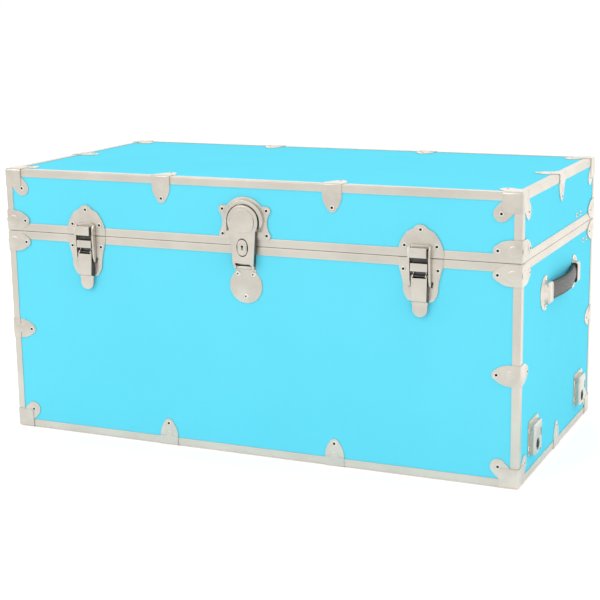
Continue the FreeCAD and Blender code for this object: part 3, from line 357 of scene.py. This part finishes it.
def softened(node, width, slot="hardware", reshape=None, dark=None, cuts=()):
    """A bevelled copy of a stamping. reshape moves its points first, cuts
    are planes that divide its faces, each a point and a direction, and
    dark picks the faces that lie in deep shade, which get a dark second
    material as painted shade."""
    shape = merged(node)
    if reshape:
        for vert in shape.verts:
            reshape(vert.co)
    sharp = [edge for edge in shape.edges
             if len(edge.link_faces) == 2 and edge.calc_face_angle_signed(0) > SHARP_FROM]
    bmesh.ops.bevel(shape, geom=sharp, offset=width, segments=2, profile=0.5, affect="EDGES",
                    material=-1, clamp_overlap=True)
    for place, direction in cuts:
        everything = shape.verts[:] + shape.edges[:] + shape.faces[:]
        bmesh.ops.bisect_plane(shape, geom=everything, plane_co=place, plane_no=direction)
    if dark:
        for face in shape.faces:
            face.material_index = 1 if dark(face.calc_center_median(), face.normal) else 0
    finishes = [finish_for(node), painted_shade_metal] if dark else [finish_for(node)]
    piece = add_piece(node + "_pressed", shape, nodes[node]["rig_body"], slot, *finishes)
    shade(piece)
    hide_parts(node)
    return piece


stampings = ["case_corner_caps", "lid_corner_caps", "case_edge_clamps", "lid_edge_clamps",
             "case_knee_clamps", "lid_knee_clamps", "lock_hinge_plate", "left_handle_loops",
             "right_handle_loops", "hinge_case_leaves", "hinge_lid_leaves", "stay_case_plates",
             "stay_lid_plates", "left_stay_arm", "right_stay_arm"]
for node in stampings:
    piece = softened(node, SHEET_SOFT)
    print(piece.name, len(piece.data.polygons))
for node in ("case_edge_bindings", "lid_edge_bindings", "case_rim_band", "lid_rim_band"):
    piece = softened(node, BINDING_SOFT, slot="binding")
    print(piece.name, len(piece.data.polygons))

# %% [markdown]
# The hasp's round head and the ring round it are a little larger on the
# real lock than on the imported one, and sit a little lower. The copies of
# the hasp and of the strike plate are stretched about the head's middle,
# and the strap below blends into the stretch, so the lock still closes.
# The sides of the hasp and the walls of the keyhole get a dark second material, painted shade for the shade
# that falls there.

# %% The hasp and its strike plate
def halfway(box, axis):
    return (box[0][axis] + box[1][axis]) / 2


FRONT_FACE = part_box("case_covering")[0][1]
SEAM_LEVEL = halfway(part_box("hinge_pins"), 2)
HEAD_RADIUS = 20.0 * MM
HEAD_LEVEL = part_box("hasp_shell")[1][2] - HEAD_RADIUS
HEAD_GROWTH, HEAD_DROP, PLATE_GROWTH = 1.215, 5.2 * MM, 1.10
HEAD_JOIN, BLEND_FROM, SLACK = HEAD_LEVEL - 10.9 * MM, SEAM_LEVEL + 12.0 * MM, 0.01 * MM
RING_REACH, RING_FOOT = 26.2 * MM, -12.6 * MM
STAPLE_HALF, STAPLE_TOP = 7.0 * MM, 10.0 * MM
OFF_PLATE = FRONT_FACE - 2.7 * MM
SQUARELY, PARTLY = 0.9, 0.5
KEY_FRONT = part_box("key_plug")[0][1]
KEY_LEVEL = halfway(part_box("key_plug"), 2)
KEYWAY_REACH, KEYWAY_TOP, KEYWAY_FLOOR = 4.2 * MM, KEY_FRONT + 0.1 * MM, KEY_FRONT + 5.0 * MM


def grow_head(point):
    """Scale a point of the round head and move it down."""
    point.x *= HEAD_GROWTH
    point.z = HEAD_LEVEL - HEAD_DROP + (point.z - HEAD_LEVEL) * HEAD_GROWTH


def reshape_hasp(point):
    """The head grows, and the strap grows toward it, from nothing at its foot."""
    if point.z >= HEAD_JOIN - SLACK:
        grow_head(point)
    elif point.z > BLEND_FROM:
        share = (point.z - BLEND_FROM) / (HEAD_JOIN - BLEND_FROM)
        join = HEAD_LEVEL - HEAD_DROP + (HEAD_JOIN - HEAD_LEVEL) * HEAD_GROWTH
        point.x *= 1 + (HEAD_GROWTH - 1) * share ** 2
        point.z = BLEND_FROM + (join - BLEND_FROM) * share


def reshape_strike(point):
    """The ring grows with the head, the plate widens, and the staple stays."""
    rise = point.z - HEAD_LEVEL
    on_ring = math.hypot(point.x, rise) < RING_REACH and rise > RING_FOOT
    off_staple = abs(point.x) > STAPLE_HALF
    if on_ring and (off_staple or rise > STAPLE_TOP):
        grow_head(point)
    elif off_staple:
        point.x *= PLATE_GROWTH


def shaded_side(middle, normal):
    """A side face of a part that stands off the front, which gets painted shade."""
    return abs(normal.x) > SQUARELY and middle.y < OFF_PLATE


def in_keyway(middle, normal):
    """A wall or the floor of the keyhole, whichever way it faces, which gets painted shade."""
    from_axis = math.hypot(middle.x, middle.z - KEY_LEVEL)
    return from_axis < KEYWAY_REACH and KEYWAY_TOP < middle.y < KEYWAY_FLOOR


softened("key_plug", KEY_SOFT, dark=in_keyway)
softened("hasp_shell", SHEET_SOFT, reshape=reshape_hasp, dark=shaded_side)
softened("lock_strike_plate", SHEET_SOFT, reshape=reshape_strike)
print("hasp head now", round(HEAD_RADIUS * HEAD_GROWTH / MM, 1), "mm in radius")

# %% [markdown]
# The working parts of the real latches are a little wider and deeper than
# the imported ones, and their thumb tabs a little longer. The same smooth
# stretch widens every stamping of a latch, so they keep fitting together,
# and what lies near the pivots isn't deepened, so the lever still swings
# clear of the base. The floor of a latch between its moving parts and the
# sides of those parts lie in shade, and that shade is painted: they are the
# same metal, but they get a dark second material, painted shade, on the copy.

# %% Draw latches with painted shade inside
LATCH_MIDDLE = halfway(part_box("right_latch_base"), 0)
LATCH_INNER = 13.4 * MM
LATCH_WIDE, LATCH_CALM, LATCH_GROWTH = 16.5 * MM, 22.0 * MM, 0.13
PIVOT_DEPTH, DEPTH_GROWTH = 5.0 * MM, 0.5
PIVOT_LEVEL = halfway(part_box("latch_pivot_pins"), 2)
DARK_FROM = PIVOT_LEVEL - 6.0 * MM
BRIDGE_FROM, BRIDGE_FADE = PIVOT_LEVEL + 5.9 * MM, 1.6 * MM
LEVER_FROM, LEVER_FADE = PIVOT_LEVEL - 6.0 * MM, 10.0 * MM
TAB_FROM, TAB_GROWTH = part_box("left_latch_lever")[0][2] + 18 * MM, 1.2


def under_latch(middle, normal):
    """A face of the base that the moving parts keep in shade, which gets painted shade."""
    near = abs(abs(middle.x) - LATCH_MIDDLE) < LATCH_INNER
    floor_face = normal.y < -SQUARELY and middle.y > OFF_PLATE and middle.z > DARK_FROM
    return near and (floor_face or shaded_side(middle, normal))


def widen(point):
    """Widen the middle of a latch, fading out toward its rivets."""
    across = abs(point.x) - LATCH_MIDDLE
    fade = min(1.0, max(0.0, (LATCH_CALM - abs(across)) / (LATCH_CALM - LATCH_WIDE)))
    wider = min(abs(across), LATCH_WIDE) * LATCH_GROWTH * fade
    point.x += math.copysign(wider, across * point.x)


def deepen(point, share):
    """Move what lies in front of the pivots outward, by a share from 0 to 1."""
    depth = FRONT_FACE - point.y - PIVOT_DEPTH
    if depth > 0:
        point.y -= depth * DEPTH_GROWTH * min(1.0, max(0.0, share))


def reshape_frame(point):
    """The catch, the bail and the base's bridge, but not the pivot's ears."""
    widen(point)
    deepen(point, (point.z - BRIDGE_FROM) / BRIDGE_FADE)


def reshape_lever(point):
    widen(point)
    deepen(point, (LEVER_FROM - point.z) / LEVER_FADE)
    if point.z < TAB_FROM:
        point.z = TAB_FROM + (point.z - TAB_FROM) * TAB_GROWTH


for side, sign in (("left", -1), ("right", 1)):
    cuts = [((sign * LATCH_MIDDLE + edge, 0, 0), (1, 0, 0)) for edge in (LATCH_INNER, -LATCH_INNER)]
    cuts.append(((0, 0, DARK_FROM), (0, 0, 1)))
    softened(side + "_latch_base", SHEET_SOFT, reshape=reshape_frame, dark=under_latch, cuts=cuts)
    softened(side + "_latch_catch", SHEET_SOFT, reshape=reshape_frame, dark=shaded_side)
    softened(side + "_latch_lever", SHEET_SOFT, reshape=reshape_lever, dark=shaded_side)
    softened(side + "_latch_bail", SHEET_SOFT, reshape=reshape_frame)
# The pins get the painted shade material: dark paint for the shade between the latch's parts.
for node in ("latch_pivot_pins", "left_latch_bail_pin", "right_latch_bail_pin"):
    paint(nodes[node], painted_shade_metal)
print("latches done, widened by up to", round(LATCH_GROWTH * 100), "percent")

# %% [markdown]
# The two wheel sockets low on the right end are empty, so the eye looks
# into them from below and from the side. The walls of each pocket that
# face inward get the dark material, painted shade for the shade inside the
# pocket, and the outside stays bright.

# %% Wheel sockets with painted shade inside
END_OF_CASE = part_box("case_covering")[1][0]
SOCKET_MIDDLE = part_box("wheel_sockets")[1][1] - 26.0 * MM
POCKET_DEPTH, POCKET_HALF = 7.7 * MM, 18.3 * MM


def inside_socket(middle, normal):
    """A wall of a pocket that faces into it, which gets painted shade."""
    across = abs(middle.y) - SOCKET_MIDDLE
    toward_middle = normal.y * across * middle.y < 0 and abs(normal.y) > PARTLY
    in_pocket = middle.x - END_OF_CASE < POCKET_DEPTH and abs(across) < POCKET_HALF
    return in_pocket and (normal.x < -PARTLY or normal.z < -PARTLY or toward_middle)


piece = softened("wheel_sockets", SHEET_SOFT, dark=inside_socket)
print(piece.name, sum(face.material_index for face in piece.data.polygons), "dark faces")

# %% [markdown]
# The trunk is held together by hollow rivets. From the front each one is a
# bright rolled ring with a dark hole in its middle, so a plain button would
# look wrong. One rivet is spun from its half profile, and a copy is set on
# every rivet of the imported model. The hole is only a shallow floor, and its
# dark is painted shadow. The imported rivets are separate islands of one
# mesh: the thinnest side of an island's box is the rivet's own axis.

# %% Hollow rivets and domed screws
TRUNK_MIDDLE = Vector([(low + high) / 2 for low, high in zip(*cad_box)])
ON_STRIKE_PLATE = 40.0 * MM
RIVET_PROFILE = [(3.6, 0.0), (3.4, 0.55), (2.8, 0.9), (2.0, 0.75), (1.8, 0.1), (0.0, 0.1)]
SCREW_PROFILE = [(4.0, 0.0), (3.7, 0.8), (2.7, 1.45), (1.3, 1.78), (0.95, 1.2), (0.0, 1.2)]
SHADOW_FROM = 3
RIVET_RISE, SCREW_RISE = 0.9 * MM, 1.8 * MM
TINY = 1e-6


def islands(node):
    """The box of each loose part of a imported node, with its outward axis."""
    shape = bmesh.new()
    shape.from_mesh(nodes[node].data)
    bmesh.ops.remove_doubles(shape, verts=shape.verts[:], dist=WELD)
    left, found = set(shape.verts), []
    while left:
        reach, part = [left.pop()], []
        while reach:
            vert = reach.pop()
            part.append(vert.co.copy())
            near = {edge.other_vert(vert) for edge in vert.link_edges} & left
            left -= near
            reach += near
        low = Vector([min(point[i] for point in part) for i in range(3)])
        high = Vector([max(point[i] for point in part) for i in range(3)])
        axis = min(range(3), key=lambda i: high[i] - low[i])
        middle = (low + high) / 2
        out = Vector((0, 0, 0))
        out[axis] = 1.0 if middle[axis] > TRUNK_MIDDLE[axis] else -1.0
        middle[axis] = high[axis] if out[axis] > 0 else low[axis]
        found.append((middle, out))
    shape.free()
    return found


def turned(profile, steps):
    """Spin a half profile in millimetres. What lies inside one of its points gets the painted shadow, the
    dark of the hole or recess in its middle.
    """
    shape = bmesh.new()
    rim = [shape.verts.new((radius * MM, 0.0, height * MM)) for radius, height in profile]
    for first, second in zip(rim, rim[1:]):
        shape.edges.new((first, second))
    bmesh.ops.spin(shape, geom=shape.verts[:] + shape.edges[:], cent=(0, 0, 0), axis=(0, 0, 1),
                   angle=math.tau, steps=steps, use_merge=True)
    bmesh.ops.remove_doubles(shape, verts=shape.verts[:], dist=TINY)
    bmesh.ops.recalc_face_normals(shape, faces=shape.faces[:])
    limit = profile[SHADOW_FROM][0] * MM
    for face in shape.faces:
        face.smooth = True
        if face.calc_center_median().xy.length < limit:
            face.material_index = 1
    if sum(face.normal.z for face in shape.faces) < 0:
        bmesh.ops.reverse_faces(shape, faces=shape.faces[:])
    return shape


def stamp(shape, pattern, matrix):
    """Add a copy of a pattern to a shape, placed by a matrix."""
    first = len(shape.verts)
    shape.from_mesh(pattern)
    shape.verts.ensure_lookup_table()
    bmesh.ops.transform(shape, matrix=matrix, verts=shape.verts[first:])


def set_out(node, profile, steps, rise):
    """One turned head on every island of a node."""
    pattern = mesh_from(turned(profile, steps), "pattern")
    shape = bmesh.new()
    places = islands(node)
    for top, out in places:
        if node == "lid_rivets" and out.y < 0 and abs(top.x) < ON_STRIKE_PLATE:
            top.x *= PLATE_GROWTH
        turn = out.to_track_quat("Z", "X").to_matrix().to_4x4()
        stamp(shape, pattern, Matrix.Translation(top - out * rise) @ turn)
    piece = add_piece(node + "_turned", shape, nodes[node]["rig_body"], "hardware", bright, painted_shadow_black)
    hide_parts(node)
    bpy.data.meshes.remove(pattern)
    return places


rivet_places = []
for node in ("case_rivets", "lid_rivets"):
    rivet_places += [(node, *place) for place in set_out(node, RIVET_PROFILE, 12, RIVET_RISE)]
screw_places = set_out("case_screws", SCREW_PROFILE, 14, SCREW_RISE)
print("rivets", len(rivet_places), "screws", len(screw_places))

# %% [markdown]
# Each clamp has a low bulge pressed into each leg next to the bend, which
# stiffens it. Its place is found from the clamp's rivet: a clamp's rivet is
# the only one that lies about 32 mm from a single edge of the trunk, so the
# bulge goes between that rivet and the edge. Half of a flattened sphere is
# enough, and it keeps its round outline in any light.

# %% Pressed bulges on the clamps
BOX_LOW = Vector(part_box("case_covering")[0])
BOX_HIGH = Vector(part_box("lid_covering")[1])
RIVET_FROM_EDGE = 32.0 * MM
NEAR_ENOUGH = 1.2 * MM
BULGE_FROM_EDGE = 9.0 * MM
BULGE_LONG, BULGE_WIDE, BULGE_RISE = 10.5 * MM, 8.0 * MM, 1.2 * MM


def bulge():
    shape = bmesh.new()
    bmesh.ops.create_uvsphere(shape, u_segments=20, v_segments=10, radius=1.0)
    bmesh.ops.scale(shape, vec=(BULGE_LONG, BULGE_WIDE, BULGE_RISE), verts=shape.verts[:])
    bmesh.ops.bisect_plane(shape, geom=shape.verts[:] + shape.edges[:] + shape.faces[:],
                           plane_co=(0, 0, 0), plane_no=(0, 0, -1), clear_outer=True)
    for face in shape.faces:
        face.smooth = True
    return shape


pattern = mesh_from(bulge(), "bulge")
bulges = {"case": bmesh.new(), "lid": bmesh.new()}
count = 0
for node, top, out in rivet_places:
    flat = [i for i in range(3) if out[i] == 0]
    edges = []
    for i in flat:
        for side, place in ((-1, BOX_LOW[i]), (1, BOX_HIGH[i])):
            if abs(abs(top[i] - place) - RIVET_FROM_EDGE) < NEAR_ENOUGH:
                edges.append((i, side, place))
    if len(edges) != 1:
        continue
    i, side, place = edges[0]
    toward = Vector((0, 0, 0))
    toward[i] = side
    spot = top - out * RIVET_RISE
    spot[i] = place - side * BULGE_FROM_EDGE
    across = out.cross(toward)
    turn = Matrix((toward, across, out)).transposed().to_4x4()
    stamp(bulges[nodes[node]["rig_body"]], pattern, Matrix.Translation(spot) @ turn)
    count += 1
for body, shape in bulges.items():
    bmesh.ops.recalc_face_normals(shape, faces=shape.faces[:])
    add_piece(body + "_clamp_bulges", shape, body, "hardware", nickel)
bpy.data.meshes.remove(pattern)
print("bulges", count)

# %% [markdown]
# The key plug sits in a raised oval on the hasp, and a line of shadow
# runs round that oval. It is painted: a thin dark ring under the raised
# oval is all it takes, and only its rim shows.

# %% Painted shadow line round the key plate
LINE_HALF_WIDE, LINE_HALF_TALL, LINE_BAND, LINE_THICK = 9.2 * MM, 13.4 * MM, 2.4 * MM, 0.3 * MM
LINE_FACE = FRONT_FACE - 11.06 * MM
shape = bmesh.new()
bmesh.ops.create_circle(shape, cap_ends=True, segments=48, radius=1.0)
bmesh.ops.scale(shape, vec=(LINE_HALF_WIDE, LINE_HALF_TALL, 1.0), verts=shape.verts[:])
middle = shape.faces[:]
bmesh.ops.inset_region(shape, faces=middle, thickness=LINE_BAND, use_boundary=True, use_even_offset=True)
bmesh.ops.delete(shape, geom=middle, context="FACES_ONLY")
bmesh.ops.rotate(shape, matrix=Matrix.Rotation(math.radians(90), 3, "X"), verts=shape.verts[:])
bmesh.ops.translate(shape, vec=(0.0, LINE_FACE, KEY_LEVEL), verts=shape.verts[:])
ring = bmesh.ops.extrude_face_region(shape, geom=shape.faces[:])
grown = [item for item in ring["geom"] if isinstance(item, bmesh.types.BMVert)]
bmesh.ops.translate(shape, vec=(0, LINE_THICK, 0), verts=grown)
bmesh.ops.recalc_face_normals(shape, faces=shape.faces[:])
piece = add_piece("key_plate_painted_shadow", shape, "hasp", "hardware", painted_shadow_black)
print(piece.name, "at", round(LINE_FACE, 4))

# %% [markdown]
# A handle is a thick strap held in a metal loop at each end. It is crowned
# along its middle, thin at its sewn edges, and it bows out from the trunk
# so that fingers fit behind it. A cube is cut into a fine lattice, its rows
# are moved to the strap's stations, and each point is pushed out along the
# bow. Two rows of stitches follow the grooves.

# %% Strap grips
END_FACE = BOX_HIGH.x
GRIP_LOW, GRIP_HIGH = [Vector(corner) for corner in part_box("right_handle_grip")]
GRIP_REACH, GRIP_LEVEL = GRIP_HIGH.y, (GRIP_LOW.z + GRIP_HIGH.z) / 2
GRIP_HALF = (GRIP_HIGH.z - GRIP_LOW.z) / 2
GRIP_BACK, GRIP_BOW, FLAT_FROM = 1.7 * MM, 9.5 * MM, 70.0 * MM
ROWS_ALONG, EDGE_BAND = 63, 12.3 * MM
STITCH_PITCH, STITCH_COUNT, STITCH_ROW, STITCH_SEAT = 4.4 * MM, 14, 10.2 * MM, 4.1 * MM
STITCH_SIZE = (0.45 * MM, 1.5 * MM, 0.45 * MM)
STATIONS = (-13.0, -12.8, -12.2, -11.0, -10.2, -9.5, -7.8, -2.8,
            2.8, 7.8, 9.5, 10.2, 11.0, 12.2, 12.8, 13.0)
THICKNESS = (3.0, 4.1, 4.7, 4.7, 4.0, 4.9, 6.0, 6.8, 6.8, 6.0, 4.9, 4.0, 4.7, 4.7, 4.1, 3.0)
UNDERSIDE = (1.0, 0.4, 0.1, 0.0, 0.0, 0.0, 0.0, 0.0, 0.0, 0.0, 0.0, 0.0, 0.0, 0.1, 0.4, 1.0)


def bow(along):
    """Height of the strap's back over the end of the trunk."""
    if abs(along) >= FLAT_FROM:
        return GRIP_BACK
    wave = (1 - (along / FLAT_FROM) ** 2) ** 1.3
    return GRIP_BACK + (GRIP_BOW - GRIP_BACK) * wave


def strap_blank():
    """A lattice block: x is 0 on the back and 1 on the face, y and z are in metres."""
    shape = bmesh.new()
    bmesh.ops.create_cube(shape, size=1.0)
    bmesh.ops.translate(shape, vec=(0.5, 0, 0), verts=shape.verts[:])
    bmesh.ops.scale(shape, vec=(1, 2 * GRIP_REACH, 2 * GRIP_HALF), verts=shape.verts[:])
    for axis, cuts in ((1, ROWS_ALONG), (2, len(STATIONS) - 2)):
        lines = [edge for edge in shape.edges
                 if abs((edge.verts[0].co - edge.verts[1].co)[axis]) > TINY]
        bmesh.ops.subdivide_edges(shape, edges=lines, cuts=cuts, use_grid_fill=True)
    return shape


def strap():
    shape = strap_blank()
    step = 2 * GRIP_HALF / (len(STATIONS) - 1)
    for vert in shape.verts:
        row = round((vert.co.z + GRIP_HALF) / step)
        level = THICKNESS[row] if vert.co.x > 0.5 else UNDERSIDE[row]
        vert.co.x = END_FACE + bow(vert.co.y) + level * MM
        vert.co.z = GRIP_LEVEL + STATIONS[row] * MM
    for face in shape.faces:
        face.smooth = True
        middle = face.calc_center_median()
        if abs(middle.z - GRIP_LEVEL) > EDGE_BAND:
            face.material_index = 1
    return shape


def stitches():
    shape = bmesh.new()
    for index in range(-STITCH_COUNT, STITCH_COUNT + 1):
        along = index * STITCH_PITCH
        lean = math.atan2(bow(along + MM) - bow(along - MM), 2 * MM)
        for level in (-STITCH_ROW, STITCH_ROW):
            fresh = bmesh.ops.create_uvsphere(shape, u_segments=6, v_segments=4, radius=1.0)["verts"]
            bmesh.ops.scale(shape, vec=STITCH_SIZE, verts=fresh)
            place = Vector((END_FACE + bow(along) + STITCH_SEAT, along, GRIP_LEVEL + level))
            seat = Matrix.Translation(place) @ Matrix.Rotation(-lean, 4, "Z")
            bmesh.ops.transform(shape, matrix=seat, verts=fresh)
    for face in shape.faces:
        face.smooth = True
    return shape


for side, mirror in (("right", 1), ("left", -1)):
    made = (("strap", strap(), (strap_face, strap_edge)), ("stitches", stitches(), (thread,)))
    for label, shape, materials in made:
        if mirror < 0:
            bmesh.ops.scale(shape, vec=(-1, 1, 1), verts=shape.verts[:])
            bmesh.ops.reverse_faces(shape, faces=shape.faces[:])
        piece = add_piece(side + "_grip_" + label, shape, "case", "grip", *materials)
        if label == "strap":
            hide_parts(side + "_handle_grip")
        print(piece.name, len(piece.data.polygons))

# %% [markdown]
# The camera stands where the photograph was taken from. Its lens and place
# were solved from the trunk's own edges, so the parallel edges converge as
# they do in the picture. A slight roll follows the tilt of the photograph.

# %% Camera
AIM = Vector((-7.65, 0.0, 191.85)) * MM
AZIMUTH, ELEVATION, ROLL = math.radians(24.339), math.radians(12.514), math.radians(-0.870)
DISTANCE = 2305.4 * MM
LENS_MM, SENSOR_MM = 87.70, 36.0
level = math.cos(ELEVATION)
back = Vector((math.sin(AZIMUTH) * level, -math.cos(AZIMUTH) * level, math.sin(ELEVATION)))
right = Vector((math.cos(AZIMUTH), math.sin(AZIMUTH), 0.0))
up = back.cross(right)
tilted_right = right * math.cos(ROLL) + up * math.sin(ROLL)
tilted_up = up * math.cos(ROLL) - right * math.sin(ROLL)
lens = bpy.data.cameras.new("camera")
lens.sensor_width = SENSOR_MM
lens.lens = LENS_MM
camera = bpy.data.objects.new("camera", lens)
collection.objects.link(camera)
turn = Matrix((tilted_right, tilted_up, back)).transposed().to_4x4()
camera.matrix_world = Matrix.Translation(AIM + back * DISTANCE) @ turn
bpy.context.scene.camera = camera
print("camera at", [round(value, 3) for value in camera.matrix_world.translation])

# %% [markdown]
# The photograph is lit very evenly on a white ground. A bright even sky
# lights the trunk, two wide soft lamps give the metal some shape, and a
# pale floor catches a soft shadow. Metal also mirrors a brighter wall and
# floor behind the trunk, so its top and right-hand edges gleam, and more
# weakly the floor round it, so its feet don't go grey.

# %% Floor, sky and lamps
FLOOR_HALF = 30.0
FLOOR_GLOW, FLOOR_BEHIND, FLOOR_ROUND = 0.30, 0.40, 0.22
SKY_LIGHT, SKY_SEEN, WALL_BEHIND = 0.96, 1.0, 0.35
scene = bpy.context.scene
scene.view_settings.view_transform = "Standard"
shape = bmesh.new()
bmesh.ops.create_grid(shape, x_segments=1, y_segments=1, size=FLOOR_HALF)
floor = bpy.data.objects.new("floor", mesh_from(shape, "floor"))
collection.objects.link(floor)
floor_pale, tree, shader, place = begin("pale floor", (0.95, 0.95, 0.95), 0.9)
set_color(shader.inputs["Emission Color"], (1.0, 1.0, 1.0))
path = tree.nodes.new("ShaderNodeLightPath")
seen = maths(tree, "MULTIPLY", path.outputs["Is Camera Ray"], FLOOR_GLOW)
where = tree.nodes.new("ShaderNodeSeparateXYZ")
tree.links.new(tree.nodes.new("ShaderNodeNewGeometry").outputs["Position"], where.inputs["Vector"])
behind = span(tree, where.outputs["Y"], -0.15, 0.35, 0.0, FLOOR_BEHIND)
around = span(tree, where.outputs["Y"], -0.85, -0.40, 0.0, FLOOR_ROUND)
mirrored = maths(tree, "MAXIMUM", behind, around)
gleam = maths(tree, "MULTIPLY", mirrored, path.outputs["Is Glossy Ray"])
tree.links.new(maths(tree, "ADD", seen, gleam), shader.inputs["Emission Strength"])
paint(floor, floor_pale)

world = bpy.data.worlds.new("studio")
scene.world = world
world.use_nodes = True
tree = world.node_tree
sky = tree.nodes["Background"]
path = tree.nodes.new("ShaderNodeLightPath")
seen = maths(tree, "MAXIMUM", path.outputs["Is Camera Ray"], path.outputs["Is Glossy Ray"])
seen = maths(tree, "MAXIMUM", seen, path.outputs["Is Transmission Ray"])
set_color(sky.inputs["Color"], (1.0, 1.0, 1.0))
sky_level = span(tree, seen, 0.0, 1.0, SKY_LIGHT, SKY_SEEN)
where = tree.nodes.new("ShaderNodeSeparateXYZ")
tree.links.new(tree.nodes.new("ShaderNodeTexCoord").outputs["Generated"], where.inputs["Vector"])
wall = span(tree, where.outputs["Y"], 0.25, 0.80, 0.0, WALL_BEHIND)
wall_gleam = maths(tree, "MULTIPLY", wall, path.outputs["Is Glossy Ray"])
tree.links.new(maths(tree, "ADD", sky_level, wall_gleam), sky.inputs["Strength"])


def lamp(name, place, aim, size, watts):
    light = bpy.data.lights.new(name, "AREA")
    light.shape = "RECTANGLE"
    light.size, light.size_y = size
    light.energy = watts
    piece = bpy.data.objects.new(name, light)
    collection.objects.link(piece)
    piece.location = place
    piece.rotation_euler = (Vector(aim) - Vector(place)).to_track_quat("-Z", "Y").to_euler()


lamp("front left lamp", (-1.6, -2.4, 2.2), (0, 0, 0.2), (1.6, 1.6), 14)
lamp("right lamp", (2.6, -0.6, 1.6), (0.2, 0, 0.2), (1.4, 1.4), 8)
print("lamps set")
